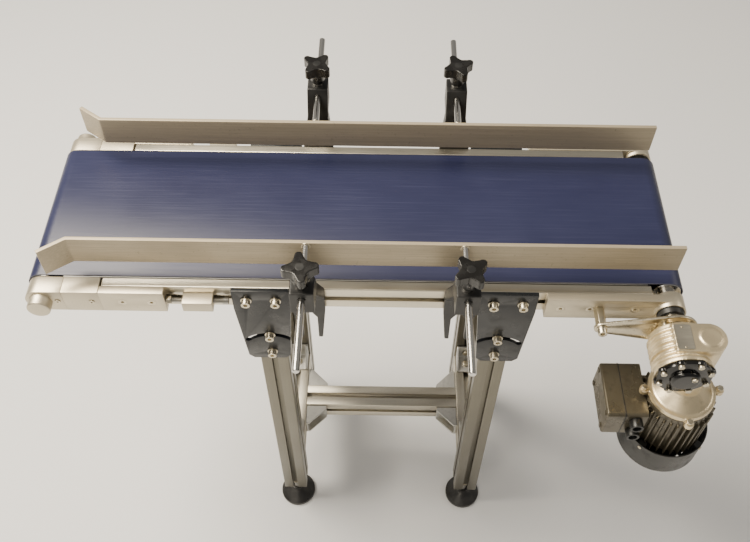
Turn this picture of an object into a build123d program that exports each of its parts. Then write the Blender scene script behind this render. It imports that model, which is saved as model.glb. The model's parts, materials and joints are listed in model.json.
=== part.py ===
from build123d import *
import math
import os

# Belt conveyor section on two leg stands, in millimetres.
# X runs from the tail end to the drive end, Y from the operator side to the far side, Z up.
# The origin is on the floor, under the middle of the overall length and of the belt's width.

# ---- Driving dimensions: belt and rollers ----
roller_spacing = 914.0
roller_radius = 22.2
belt_wrap_gap = 0.3
belt_thickness = 2.0
belt_width = 250.0
belt_top_height = 788.0

# ---- Side frames and bed ----
frame_height = 45.0
frame_thickness = 15.5
belt_to_frame_face = 17.5
frame_tail_setback = 90.5
frame_drive_setback = 28.0
bed_thickness = 3.0
bed_roller_gap = 10.0
bed_side_gap = 0.5
cross_member_depth = 30.0
cross_member_count = 4
cross_member_end_inset = 70.0

# ---- T-slot sections ----
slot_opening = 10.0
slot_lip = 4.5
slot_cavity_width = 20.0
slot_cavity_depth = 7.0
slot_cavity_floor = 11.0
slot_corner_radius = 1.8
section_bore_radius = 6.6
frame_chamber_wall = 3.0

# ---- Leg stands ----
profile_size = 45.0
stand_from_tail = 325.0
stand_spacing = 350.0
leg_bottom_height = 68.0
leg_top_gap = 6.0
cross_bar_top_height = 203.0

# ---- Leg plates ----
leg_plate_thickness = 6.0
leg_plate_half_width = 42.0
leg_plate_offset = 5.5
leg_plate_bottom_half_width = 33.0
leg_plate_drop = 139.0
leg_plate_corner_cut = 8.0
leg_plate_foot_half_width = 18.0
leg_plate_bolt_spacing = 43.0
pivot_below_frame = 118.0
arc_slot_radius = 48.0
arc_slot_half_angle = 47.0
arc_slot_width = 8.4

# ---- Levelling feet ----
foot_radius = 35.0
foot_rim_height = 9.0
foot_dome_height = 24.0
foot_neck_radius = 11.0
foot_neck_height = 31.0
spindle_radius = 6.0
spindle_in_leg = 38.0
foot_nut_height = 9.0
foot_nut_across = 19.0

# ---- Tail end and take-up ----
nose_seam_from_axis = 33.0
nose_length = 87.0
nose_belt_gap = 2.0
nose_boss_radius = 17.0
nose_boss_length = 16.0
slide_block_length = 94.0
slide_block_thickness = 12.5
slide_gap = 0.2
tail_axle_radius = 10.0
tail_axle_end_cover = 6.0
tail_bearing_width = 12.0
tail_bearing_radius = 17.5
reaction_block_gap = 26.0
reaction_block_length = 44.0
reaction_block_depth = 20.0
reaction_block_height = 20.0
tension_screw_radius = 4.0
tension_screw_overhang = 14.0
tension_head_radius = 5.5
tension_axis_offset = 7.0
tension_nut_across = 11.0
tension_nut_height = 6.5
tension_nut_gap = 2.0

# ---- Drive end ----
drive_plate_length = 180.0
drive_plate_thickness = 12.5
housing_outer_step = 6.0
drive_bearing_radius = 20.0
drive_journal_radius = 12.5
drive_roller_wall = 4.0
drive_roller_end_wall = 15.0
roller_side_gap = 0.0
output_shaft_radius = 10.0
seal_radius = 19.0
seal_length = 14.0

# ---- Gearbox ----
arm_distance = 31.0
arm_thickness = 4.0
arm_ring_radius = 33.0
arm_end_radius = 11.0
arm_reach_x = 103.0
arm_drop = 0.0
standoff_across = 14.0
gearbox_gap = 10.0
gearbox_depth = 62.0
gearbox_axis_from_back = 27.0
wheel_housing_radius = 38.0
worm_offset = 33.0
worm_housing_radius = 23.0
worm_housing_rise = 40.5
gear_cap_radius = 15.0
gear_cap_height = 2.0
gearbox_top_half_width = 23.0
gearbox_top_overhang = 17.0
gearbox_neck_radius = 20.5
gearbox_rim_radius = 41.0
gearbox_rim_depth = 7.0
gearbox_rib_count = 5
gearbox_rib_height = 4.0
gearbox_rib_width = 3.0
cover_radius = 38.0
cover_thickness = 6.0
cover_dome_radius = 21.0
cover_dome_height = 8.0
cover_bolt_count = 8
cover_bolt_circle = 35.0
cover_lobe_radius = 7.0
worm_radius = 9.0
worm_core_radius = 7.5
worm_pitch = 5.0
worm_turns = 7
gear_air_gap = 0.4
wheel_width = 20.0
wheel_tooth_depth = 2.6
wheel_tooth_count = 30
wheel_hub_radius = 15.0

# ---- Motor ----
motor_flange_drop = 113.5
motor_flange_radius = 50.0
motor_flange_thickness = 10.0
motor_neck_height = 18.0
flange_lug_radius = 7.0
flange_lug_circle = 56.0
flange_lug_count = 4
motor_body_radius = 48.0
motor_fin_radius = 56.0
motor_fin_count = 32
motor_fin_width = 2.6
motor_body_length = 90.0
motor_wall = 6.0
rotor_radius = 28.0
rotor_length = 56.0
motor_shaft_radius = 7.0
fan_cowl_radius = 65.5
fan_cowl_length = 60.0
cowl_ring_shares = (0.3, 0.5, 0.7)
fan_cowl_wall = 2.0
fan_radius = 50.0
fan_blade_count = 8
fan_blade_height = 18.0
box_half_width = 46.0
box_height = 60.0
box_top_below_flange = 10.0
box_shift = 10.0
box_neck_inset = 14.0
box_base_depth = 34.0
box_lid_depth = 28.0
box_from_motor = 50.0
gland_radius = 10.0
gland_length = 14.0
gland_rise = 16.0
gland_spacing = 28.0

# ---- Side guides ----
rail_height = 50.0
rail_thickness = 6.0
rail_inner_offset = 115.0
rail_above_belt = 28.0
rail_flare_length = 44.0
rail_flare_angle = 35.0
rail_bend_from_tail = 53.0
rail_end_from_drive = 4.0
rod_radius = 5.0
rod_below_rail_top = 6.0
rod_outer_reach = 321.0
rod_from_leg = 64.0

# ---- Guide brackets and clamp knobs ----
bracket_base_thickness = 9.0
bracket_half_width = 24.0
bracket_foot_half_width = 18.0
bracket_head_half_width = 16.5
bracket_head_start = 40.0
bracket_head_depth = 30.0
bracket_head_height = 44.0
bracket_head_above_rod = 14.0
bracket_arm_start = 4.0
bracket_foot_drop = 70.0
bracket_fork_width = 23.0
bracket_fork_height = 66.0
bracket_slot_width = 9.0
bracket_slot_above_bolt = 20.0
collar_radius = 9.0
collar_height = 5.0
knob_height = 36.0
knob_star_height = 16.0
knob_reach = 25.0
knob_lobe_radius = 5.5
knob_hub_radius = 10.5
knob_waist_radius = 13.0
knob_hub_flare = 2.0
knob_stud_radius = 4.0
knob_stud_gap = 0.3

# ---- Fits and fasteners ----
running_fit = 0.05
clear_gap = 0.4
bolt_radius = 4.0
bolt_head_radius = 6.5
bolt_head_height = 8.0
bolt_socket_radius = 3.2
bolt_socket_depth = 4.0
washer_radius = 8.0
washer_thickness = 1.6
t_nut_height = 5.0
t_nut_half_width = 8.5
t_nut_half_length = 10.0
small_screw_radius = 2.5
small_head_radius = 4.2
csk_head_radius = 6.6
csk_depth = 4.5
csk_shank_share = 0.75
csk_socket_share = 0.7
gusset_leg = 40.0
gusset_wall = 4.0
gusset_width = 38.0
gusset_toe = 7.0
edge_break = 1.0

# ---- Derived places ----
belt_inner_radius = roller_radius + belt_wrap_gap
belt_outer_radius = belt_inner_radius + belt_thickness
axis_height = belt_top_height - belt_outer_radius
frame_top = axis_height + frame_height / 2
frame_bottom = axis_height - frame_height / 2
frame_face = belt_width / 2 + belt_to_frame_face
overall_length = belt_outer_radius + roller_spacing + worm_offset + fan_cowl_radius
tail_x = -overall_length / 2 + belt_outer_radius
drive_x = tail_x + roller_spacing
frame_x0 = tail_x + frame_tail_setback
frame_x1 = drive_x - frame_drive_setback
leg_xs = [tail_x + stand_from_tail, tail_x + stand_from_tail + stand_spacing]
outward = {leg_xs[0]: -1, leg_xs[1]: 1}
leg_y = frame_face - profile_size / 2
leg_top = frame_bottom - leg_top_gap
worm_x = drive_x + worm_offset
arm_y = -(frame_face + drive_plate_thickness + arm_distance)
gearbox_y1 = arm_y - arm_thickness / 2 - gearbox_gap
gearbox_y0 = gearbox_y1 - gearbox_depth
gear_y = gearbox_y1 - gearbox_axis_from_back
motor_top = axis_height - motor_flange_drop
motor_bottom = motor_top - motor_flange_thickness - motor_body_length
cowl_bottom = motor_bottom - fan_cowl_length + motor_wall * 2
rail_bottom = belt_top_height + rail_above_belt
rail_top = rail_bottom + rail_height
rod_height = rail_top - rod_below_rail_top
rod_xs = [leg_xs[0] + rod_from_leg, leg_xs[1] - rod_from_leg]
head_top = rod_height + bracket_head_above_rod


# ---- Small helpers ----
def block(x0, x1, y0, y1, z0, z1):
    """A box between two corners."""
    return Pos((x0 + x1) / 2, (y0 + y1) / 2, (z0 + z1) / 2) * Box(abs(x1 - x0), abs(y1 - y0), abs(z1 - z0))


def rod_along_x(y, z, x0, x1, radius):
    """A round bar from x0 to x1."""
    return Pos((x0 + x1) / 2, y, z) * Rot(0, 90, 0) * Cylinder(radius, abs(x1 - x0))


def rod_along_y(x, z, y0, y1, radius):
    """A round bar from y0 to y1."""
    return Pos(x, (y0 + y1) / 2, z) * Rot(90, 0, 0) * Cylinder(radius, abs(y1 - y0))


def rod_along_z(x, y, z0, z1, radius):
    """A round bar from z0 to z1."""
    return Pos(x, y, (z0 + z1) / 2) * Cylinder(radius, abs(z1 - z0))


def hex_along_z(x, y, z0, z1, across):
    """A hexagonal bar standing up, measured across its flats."""
    return Pos(x, y, min(z0, z1)) * extrude(RegularPolygon(across / math.sqrt(3), 6), amount=abs(z1 - z0))


def hex_along_x(y, z, x0, x1, across):
    """A hexagonal bar along X, measured across its flats."""
    face = Plane.YZ.offset(min(x0, x1)) * Pos(y, z) * RegularPolygon(across / math.sqrt(3), 6)
    return extrude(face, amount=abs(x1 - x0))


def upright_plane(y, facing):
    """A plane parallel to XZ at a given Y, whose sketch X and Y are world X and Z or its mirror."""
    return Plane(origin=(0, y, 0), x_dir=(1, 0, 0) if facing < 0 else (-1, 0, 0), z_dir=(0, facing, 0))


def plate_outline(points, y0, y1):
    """Extrudes an outline given as (x, z) points from y0 to y1."""
    face = make_face(Polyline([(x, y0, z) for x, z in points], close=True))
    return extrude(face, amount=y1 - y0, dir=(0, 1, 0))


os.makedirs("parts", exist_ok=True)


def save(name, *solids):
    """Writes one node, made of one or more separate solids."""
    shapes = [s for item in solids for s in item.solids()]
    shape = shapes[0] if len(shapes) == 1 else Compound(children=shapes)
    export_step(shape, os.path.join("parts", name + ".step"))


# ---- Sections ----
def slot_cut():
    """The T-slot's void, with its mouth on the X axis and its cavity below it."""
    half, wide, floor = slot_opening / 2, slot_cavity_width / 2, slot_cavity_floor / 2
    deep = slot_lip + slot_cavity_depth
    points = [(-half, edge_break), (-half, -slot_lip), (-wide, -slot_lip)]
    points.append((-wide, -slot_lip - 2 * edge_break))
    points += [(-floor, -deep), (floor, -deep), (wide, -slot_lip - 2 * edge_break), (wide, -slot_lip)]
    points += [(half, -slot_lip), (half, edge_break)]
    return make_face(Polyline(points, close=True))


def square_section():
    """A square section with a T-slot in each face and a core bore."""
    section = RectangleRounded(profile_size, profile_size, slot_corner_radius)
    for turn in range(4):
        section -= Rot(0, 0, 90 * turn) * Pos(0, profile_size / 2) * slot_cut()
    return section - Circle(section_bore_radius)


def profile_along_z(x, y, z0, z1):
    """A square T-slot profile standing up."""
    return extrude(Plane(origin=(x, y, z0)) * square_section(), amount=z1 - z0)


def profile_along_x(y, z, x0, x1):
    """A square T-slot profile along X."""
    return extrude(Plane.YZ.offset(x0) * Pos(y, z) * square_section(), amount=x1 - x0)


def profile_along_y(x, z, y0, y1):
    """A square T-slot profile along Y."""
    plane = Plane(origin=(x, y0, z), x_dir=(1, 0, 0), z_dir=(0, 1, 0))
    return extrude(plane * square_section(), amount=y1 - y0)


# ---- Side frames, bed and belt ----
def side_frame(side):
    """One side member: T-slot on its outer face, flat brushed top, two hollow chambers inside."""
    section = RectangleRounded(frame_thickness, frame_height, slot_corner_radius)
    section -= Pos(frame_thickness / 2, 0) * Rot(0, 0, -90) * slot_cut()
    chamber_depth = frame_thickness - 2 * frame_chamber_wall
    chamber_height = (frame_height - slot_cavity_width) / 2 - 2 * frame_chamber_wall
    for level in (-1, 1):
        centre = level * (frame_height / 2 - frame_chamber_wall - chamber_height / 2)
        section -= Pos(0, centre) * RectangleRounded(chamber_depth, chamber_height, edge_break)
    centre_y = side * (frame_face - frame_thickness / 2)
    if side < 0:
        section = mirror(section, about=Plane.YZ)
    plane = Plane.YZ.offset(frame_x0) * Pos(centre_y, axis_height)
    return extrude(plane * section, amount=frame_x1 - frame_x0)


def bed_limits():
    """The bed's ends, clear of both rollers, and its half width."""
    reach = roller_radius + bed_roller_gap
    return tail_x + reach, drive_x - reach, frame_face - frame_thickness - bed_side_gap


def slider_bed():
    """The sheet that the upper belt run slides on, with its side edges turned down."""
    x0, x1, half = bed_limits()
    top = belt_top_height - belt_thickness
    sheet = block(x0, x1, -half, half, top - bed_thickness, top)
    lip_x0, lip_x1 = frame_x0, frame_x1
    for side in (-1, 1):
        inner = side * (half - bed_thickness)
        sheet += block(lip_x0, lip_x1, inner, side * half, top - bed_thickness * 4, top - bed_thickness)
    return sheet


def cross_members():
    """Square bars that tie the two side frames together between the belt runs."""
    inner = frame_face - frame_thickness
    first, last = frame_x0 + cross_member_end_inset, frame_x1 - cross_member_end_inset
    bars = []
    top = belt_top_height - belt_thickness - bed_thickness * 4
    for index in range(cross_member_count):
        x = first + (last - first) * index / (cross_member_count - 1)
        half = cross_member_depth / 2
        z0 = top - cross_member_depth + bed_thickness * 2
        bar = block(x - half, x + half, -inner, inner, z0, top)
        bore = rod_along_y(x, (z0 + top) / 2, -inner, inner, section_bore_radius)
        bars.append(bar - bore)
    return bars


def conveyor_belt():
    """The endless belt at its running tension, as one closed band."""
    middle = ((tail_x + drive_x) / 2, -belt_width / 2, axis_height)
    plane = Plane(origin=middle, x_dir=(1, 0, 0), z_dir=(0, 1, 0))
    outer = SlotCenterToCenter(roller_spacing, 2 * belt_outer_radius)
    inner = SlotCenterToCenter(roller_spacing, 2 * belt_inner_radius)
    return extrude(plane * (outer - inner), amount=belt_width)


# ---- Fasteners ----
def cap_screw(x, z, face_y, side, length):
    """A socket head cap screw with its washer, driven inwards from an outer face."""
    head0 = face_y + side * washer_thickness
    head1 = head0 + side * bolt_head_height
    screw = rod_along_y(x, z, head0, head1, bolt_head_radius)
    screw -= rod_along_y(x, z, head1 - side * bolt_socket_depth, head1 + side, bolt_socket_radius)
    screw += rod_along_y(x, z, face_y - side * length, head0, bolt_radius)
    screw += rod_along_y(x, z, face_y, head0, washer_radius)
    return screw


def t_nut(x, z, face_y, side, hole_radius):
    """A slot nut in the cavity behind an outer face."""
    y0 = face_y - side * (slot_lip + clear_gap / 2)
    nut = block(x - t_nut_half_length, x + t_nut_half_length, y0, y0 - side * t_nut_height,
                z - t_nut_half_width, z + t_nut_half_width)
    plug_z = t_nut_half_width + edge_break
    for level in (-1, 1):
        corner = Pos(x, y0 - side * t_nut_height, z + level * plug_z)
        nut -= corner * Rot(45, 0, 0) * Box(3 * t_nut_half_length, t_nut_height, t_nut_height)
    return nut - rod_along_y(x, z, y0 + side, y0 - side * (t_nut_height + 1), hole_radius)


# ---- Leg stands ----
def leg(x, side):
    """One upright, open at its foot for the levelling spindle."""
    return profile_along_z(x, side * leg_y, leg_bottom_height, leg_top)


def stand_bar(x):
    """The bar that joins the front and back legs of one stand."""
    reach = leg_y - profile_size / 2
    return profile_along_y(x, cross_bar_top_height - profile_size / 2, -reach, reach)


def stand_cross_bar():
    """The bar that ties the two stands together."""
    half = profile_size / 2
    return profile_along_x(0, cross_bar_top_height - half, leg_xs[0] + half, leg_xs[1] - half)


def gusset(corner, first, second, across):
    """A die-cast corner bracket: two flanges and two ribs, drawn along two directions from its corner."""
    u, v, w = Vector(*first), Vector(*second), Vector(*across)
    origin = Vector(*corner)

    def prism(outline, low, high):
        points = [origin + u * a + v * b + w * low for a, b in outline]
        face = make_face(Polyline([(p.X, p.Y, p.Z) for p in points], close=True))
        return extrude(face, amount=high - low, dir=(w.X, w.Y, w.Z))

    half = gusset_width / 2
    flanges = [(0, 0), (gusset_leg, 0), (gusset_leg, gusset_wall), (gusset_wall, gusset_wall)]
    flanges += [(gusset_wall, gusset_leg), (0, gusset_leg)]
    rib = [(0, 0), (gusset_leg, 0), (gusset_leg, gusset_toe), (gusset_toe, gusset_leg), (0, gusset_leg)]
    body = prism(flanges, -half, half)
    body += prism(rib, -half, -half + gusset_wall)
    body += prism(rib, half - gusset_wall, half)
    middle = (gusset_leg + gusset_wall) / 2
    for along, normal in ((u, v), (v, u)):
        centre = origin + along * middle + normal * (gusset_wall / 2)
        hole = Plane(origin=(centre.X, centre.Y, centre.Z), z_dir=(normal.X, normal.Y, normal.Z))
        body -= extrude(hole * Circle(bolt_radius + clear_gap), amount=gusset_wall, both=True)
        head = Plane(origin=tuple(origin + along * middle + normal * gusset_wall), z_dir=tuple(normal))
        gusset_heads.append(extrude(head * Circle(bolt_head_radius), amount=bolt_head_height * 0.6))
        shank = Plane(origin=tuple(origin + along * middle - normal * slot_lip), z_dir=tuple(normal))
        gusset_heads[-1] += extrude(shank * Circle(bolt_radius), amount=slot_lip + gusset_wall)
    return body


gusset_heads = []


def corner_gussets():
    """Brackets in the corners of the cross bar, and above each stand bar where it meets its legs."""
    half = profile_size / 2
    middle = cross_bar_top_height - half
    parts = []
    for x, inward in ((leg_xs[0], 1), (leg_xs[1], -1)):
        for side in (-1, 1):
            corner = (x + inward * half, side * half, middle)
            parts.append(gusset(corner, (inward, 0, 0), (0, side, 0), (0, 0, 1)))
            foot = (x, side * (leg_y - half), cross_bar_top_height)
            parts.append(gusset(foot, (0, -side, 0), (0, 0, 1), (1, 0, 0)))
    return parts


def leg_plate(x, side):
    """The plate that holds a leg to its side frame, with a pivot hole and an arc slot about it."""
    out = outward[x]
    centre = x + out * leg_plate_offset
    face = side * frame_face
    bottom = frame_bottom - leg_plate_drop
    outline = []
    for sign in (-1, 1):
        edge = [(centre + sign * leg_plate_half_width, frame_top),
                (centre + sign * leg_plate_half_width, frame_bottom),
                (centre + sign * leg_plate_bottom_half_width, bottom + leg_plate_corner_cut),
                (centre + sign * (leg_plate_bottom_half_width - leg_plate_corner_cut), bottom)]
        outline += edge if sign < 0 else edge[::-1]
    plate = plate_outline(outline, face, face + side * leg_plate_thickness)
    pivot_z = frame_bottom - pivot_below_frame
    through = (face - side, face + side * (leg_plate_thickness + 1))
    plate -= rod_along_y(x, pivot_z, *through, bolt_radius + clear_gap / 2)
    for place in (-0.5, 0.5):
        bolt_x = centre + place * leg_plate_bolt_spacing
        plate -= rod_along_y(bolt_x, axis_height, *through, bolt_radius + clear_gap / 2)
    ring = rod_along_y(x, pivot_z, *through, arc_slot_radius + arc_slot_width / 2)
    ring -= rod_along_y(x, pivot_z, *through, arc_slot_radius - arc_slot_width / 2)
    reach = 2 * arc_slot_radius
    side_x = reach * math.tan(math.radians(arc_slot_half_angle))
    wedge = [(x, pivot_z), (x - side_x, pivot_z + reach), (x + side_x, pivot_z + reach)]
    slot = ring & plate_outline(wedge, *through)
    for sign in (-1, 1):
        angle = math.radians(90 + sign * arc_slot_half_angle)
        end_x = x + arc_slot_radius * math.cos(angle)
        end_z = pivot_z + arc_slot_radius * math.sin(angle)
        slot += rod_along_y(end_x, end_z, *through, arc_slot_width / 2)
    return plate - slot


def leg_plate_bolts():
    """Two bolts into each side frame, and an arc-slot bolt and a pivot bolt into each leg."""
    screws = []
    pivot_z = frame_bottom - pivot_below_frame
    grip = leg_plate_thickness + slot_lip + t_nut_height
    for x in leg_xs:
        centre = x + outward[x] * leg_plate_offset
        for side in (-1, 1):
            face = side * (frame_face + leg_plate_thickness)
            places = [(centre + step * leg_plate_bolt_spacing, axis_height) for step in (-0.5, 0.5)]
            places += [(x, pivot_z), (x, pivot_z + arc_slot_radius)]
            screws += [cap_screw(bx, bz, face, side, grip) for bx, bz in places]
    return screws


# ---- Levelling feet ----
def foot_pad(x, y):
    """A dished pad with a domed top and a neck that holds the spindle's ball."""
    inner = spindle_radius + running_fit
    outline = [(0, 0), (foot_radius - edge_break, 0), (foot_radius, edge_break)]
    outline.append((foot_radius, foot_rim_height))
    outline += [(foot_neck_radius + 4, foot_dome_height), (foot_neck_radius, foot_dome_height + 2)]
    outline += [(foot_neck_radius, foot_neck_height), (inner, foot_neck_height), (inner, foot_rim_height)]
    outline += [(0, foot_rim_height)]
    profile = make_face(Polyline([(r, 0, z) for r, z in outline], close=True))
    return Pos(x, y, 0) * revolve(profile, axis=Axis.Z)


def foot_spindle(x, y):
    """The threaded spindle, from the pad's socket up into the leg's core bore."""
    return rod_along_z(x, y, foot_rim_height, leg_bottom_height + spindle_in_leg, spindle_radius)


def foot_nut(x, y):
    """The lock nut under the leg, with its broad washer."""
    low, high = leg_bottom_height - foot_nut_height, leg_bottom_height - washer_thickness
    nut = hex_along_z(x, y, low, high, foot_nut_across)
    nut += rod_along_z(x, y, leg_bottom_height - washer_thickness, leg_bottom_height, foot_nut_across * 0.62)
    return nut - rod_along_z(x, y, 0, leg_bottom_height + 1, spindle_radius + running_fit)


# ---- Tail end ----
def nose_y(side):
    """The inner and outer Y of the tail's nose pieces."""
    inner = belt_width / 2 + nose_belt_gap
    return side * inner, side * (frame_face + slide_block_thickness)


def nose_cap(side):
    """The rounded end piece that carries the axle's end in a round boss."""
    y0, y1 = nose_y(side)
    half = frame_height / 2
    cap = rod_along_y(tail_x, axis_height, y0, y1, half)
    cap += block(tail_x, tail_x + nose_seam_from_axis, y0, y1, axis_height - half, axis_height + half)
    boss_end = y1 + side * nose_boss_length
    cap += rod_along_y(tail_x, axis_height, y1, boss_end, nose_boss_radius)
    rims = cap.edges().filter_by(GeomType.CIRCLE).sort_by(Axis.Y)
    cap = fillet(rims[0 if side < 0 else -1], edge_break * 2)
    blind_end = boss_end - side * tail_axle_end_cover
    cap -= rod_along_y(tail_x, axis_height, y0 - side, blind_end, tail_axle_radius)
    return cap


def bearing_block(side):
    """The block behind the nose cap, which joins it to the slide block."""
    y0, y1 = nose_y(side)
    half = frame_height / 2
    x0, x1 = tail_x + nose_seam_from_axis, tail_x + nose_length
    piece = block(x0, x1, y0, y1, axis_height - half, axis_height + half)
    return chamfer(piece.edges().filter_by(Axis.Y), edge_break * 0.6)


def slide_places():
    """The two countersunk screws of a slide block, as X places."""
    x0 = tail_x + nose_length
    return [x0 + slide_block_length * share for share in (0.34, 0.79)]


def slide_block(side):
    """The block that slides along the side frame's face and is clamped by two countersunk screws."""
    x0 = tail_x + nose_length
    half = frame_height / 2
    y0, y1 = side * (frame_face + slide_gap), side * (frame_face + slide_block_thickness)
    piece = block(x0, x0 + slide_block_length, y0, y1, axis_height - half, axis_height + half)
    piece = chamfer(piece.edges().filter_by(Axis.Y), edge_break * 0.6)
    for x in slide_places():
        piece -= csk_screw_shape(x, axis_height, y1, side, slide_block_thickness + 1, clear_gap / 4)
    return piece


def csk_screw_shape(x, z, face_y, side, length, grow):
    """A countersunk screw's outline from its face inwards, made larger by grow."""
    cone_plane = upright_plane(face_y, side)
    sketch_x = x if side < 0 else -x
    wide = cone_plane * Pos(sketch_x, z) * Circle(csk_head_radius + grow)
    shank = bolt_radius * csk_shank_share + grow
    narrow = upright_plane(face_y - side * csk_depth, side) * Pos(sketch_x, z) * Circle(shank)
    body = loft([wide.face(), narrow.face()])
    return body + rod_along_y(x, z, face_y - side * csk_depth, face_y - side * length, shank)


def csk_socket(x, face_y, side):
    """The hexagon socket's hole in a countersunk head, to be cut from its screw."""
    deep = face_y - side * csk_depth * csk_socket_share
    return rod_along_y(x, axis_height, deep, face_y + side, bolt_socket_radius * csk_shank_share)


def tail_screws():
    """The slide blocks' countersunk screws with their slot nuts, and the small nose screws."""
    screws = []
    reach = slide_block_thickness + slot_lip + t_nut_height
    for side in (-1, 1):
        face = side * (frame_face + slide_block_thickness)
        for x in slide_places():
            screw = csk_screw_shape(x, axis_height, face, side, reach, 0)
            screw -= csk_socket(x, face, side)
            screws.append(screw + t_nut(x, axis_height, side * frame_face, side, bolt_radius / 2))
        seam_x, end_x = tail_x + nose_seam_from_axis, tail_x + nose_length
        for x in (seam_x - 2 * small_head_radius, end_x - 3 * small_head_radius):
            head = rod_along_y(x, axis_height, face, face + side * edge_break * 1.5, small_head_radius)
            mouth, beyond = face + side * edge_break / 2, face + side * bolt_head_height
            socket = rod_along_y(x, axis_height, mouth, beyond, small_screw_radius * csk_socket_share)
            screws.append(head - socket)
    return screws


def tail_axle():
    """The fixed axle that the tail roller turns on."""
    _, y1 = nose_y(1)
    reach = y1 + nose_boss_length - tail_axle_end_cover
    axle = rod_along_y(tail_x, axis_height, -reach, reach, tail_axle_radius)
    return axle


def tail_roller():
    """The idler tube."""
    half = belt_width / 2 - roller_side_gap
    tube = rod_along_y(tail_x, axis_height, -half, half, roller_radius)
    tube = chamfer(tube.edges().filter_by(GeomType.CIRCLE), edge_break)
    return tube - rod_along_y(tail_x, axis_height, -half - 1, half + 1, tail_bearing_radius)


def tail_bearings():
    """A sealed ball bearing in each end of the idler tube, each drawn as one ring."""
    rings = []
    for side in (-1, 1):
        y1 = side * (belt_width / 2 - edge_break)
        y0 = y1 - side * tail_bearing_width
        ring = rod_along_y(tail_x, axis_height, y0, y1, tail_bearing_radius)
        bore = rod_along_y(tail_x, axis_height, y0 - side, y1 + side, tail_axle_radius + running_fit)
        rings.append(ring - bore)
    return rings


def tension_y(side):
    """The tension screw's axis, outside the frame face."""
    return side * (frame_face + tension_axis_offset)


def reaction_x():
    """The reaction block's two ends."""
    x0 = tail_x + nose_length + slide_block_length + reaction_block_gap
    return x0, x0 + reaction_block_length


def reaction_block(side):
    """The small block bolted in the slot that the tension screw pushes from."""
    x0, x1 = reaction_x()
    half = reaction_block_height / 2
    y1 = side * (frame_face + reaction_block_depth)
    piece = block(x0, x1, side * frame_face, y1, axis_height - half, axis_height + half)
    piece = chamfer(piece.edges().filter_by(Axis.Y), edge_break * 0.6)
    bore = rod_along_x(tension_y(side), axis_height, x0 - 1, x1 + 1, tension_screw_radius + running_fit)
    return piece - bore


def tension_screw(side):
    """The tension screw: its tip meets the slide block, its shank runs through the reaction block."""
    _, x1 = reaction_x()
    x0 = tail_x + nose_length + slide_block_length
    head0 = x1 + tension_screw_overhang
    y = tension_y(side)
    screw = rod_along_x(y, axis_height, x0, head0, tension_screw_radius)
    screw += rod_along_x(y, axis_height, head0, head0 + bolt_head_height, tension_head_radius)
    deep, past = head0 + bolt_head_height / 2, head0 + bolt_head_height + 1
    socket = rod_along_x(y, axis_height, deep, past, bolt_socket_radius)
    return screw - socket


def jam_nut(side):
    """The nut on the tension screw, just clear of the slide block."""
    x0 = tail_x + nose_length + slide_block_length + tension_nut_gap
    y = tension_y(side)
    nut = hex_along_x(y, axis_height, x0, x0 + tension_nut_height, tension_nut_across)
    bore = tension_screw_radius + running_fit
    return nut - rod_along_x(y, axis_height, x0 - 1, x0 + tension_nut_height + 1, bore)


# ---- Drive end ----
def drive_screw_xs():
    """The drive plate's countersunk screws, as X places."""
    x0 = drive_x - drive_plate_length
    return [x0 + drive_plate_length * share for share in (0.12, 0.36, 0.72)]


def drive_plate(side):
    """The machined plate on the side frame's end, rounded round the drive roller's bearing."""
    half = frame_height / 2
    y0, y1 = side * frame_face, side * (frame_face + drive_plate_thickness)
    x0 = drive_x - drive_plate_length
    plate = block(x0, drive_x, y0, y1, axis_height - half, axis_height + half)
    inner = side * (frame_face - housing_outer_step)
    outer = side * (frame_face + drive_plate_thickness + housing_outer_step)
    plate = chamfer(plate.edges().filter_by(Axis.Y), edge_break * 0.6)
    plate += rod_along_y(drive_x, axis_height, inner, outer, half)
    plate -= rod_along_y(drive_x, axis_height, inner - side, outer + side, drive_bearing_radius)
    for x in drive_screw_xs():
        plate -= csk_screw_shape(x, axis_height, y1, side, drive_plate_thickness + 1, clear_gap / 4)
    return plate


def drive_plate_screws():
    """Countersunk screws with slot nuts that hold the two drive plates."""
    screws = []
    reach = drive_plate_thickness + slot_lip + t_nut_height
    for side in (-1, 1):
        face = side * (frame_face + drive_plate_thickness)
        for x in drive_screw_xs():
            screw = csk_screw_shape(x, axis_height, face, side, reach, 0)
            screw -= csk_socket(x, face, side)
            screws.append(screw + t_nut(x, axis_height, side * frame_face, side, bolt_radius / 2))
    return screws


def drive_bearings():
    """The bearing in each drive plate, and the dark seal on the gearbox side, each drawn as one ring."""
    rings = []
    for side in (-1, 1):
        y0 = side * (frame_face - housing_outer_step)
        y1 = side * (frame_face + drive_plate_thickness + housing_outer_step)
        ring = rod_along_y(drive_x, axis_height, y0, y1, drive_bearing_radius)
        if side < 0:
            seal_end = y1 + side * (seal_length - housing_outer_step)
            ring += rod_along_y(drive_x, axis_height, y1, seal_end, seal_radius)
        bore_radius = drive_journal_radius + running_fit
        bore = rod_along_y(drive_x, axis_height, y0 - side, y1 + side * seal_length, bore_radius)
        rings.append(ring - bore)
    return rings


def drive_roller():
    """The drive drum: a tube with thick end walls, fixed to the drive shaft."""
    half = belt_width / 2 - roller_side_gap
    drum = rod_along_y(drive_x, axis_height, -half, half, roller_radius)
    drum = chamfer(drum.edges().filter_by(GeomType.CIRCLE), edge_break)
    hollow = half - drive_roller_end_wall
    drum -= rod_along_y(drive_x, axis_height, -hollow, hollow, roller_radius - drive_roller_wall)
    return drum - rod_along_y(drive_x, axis_height, -half - 1, half + 1, drive_journal_radius)


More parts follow.
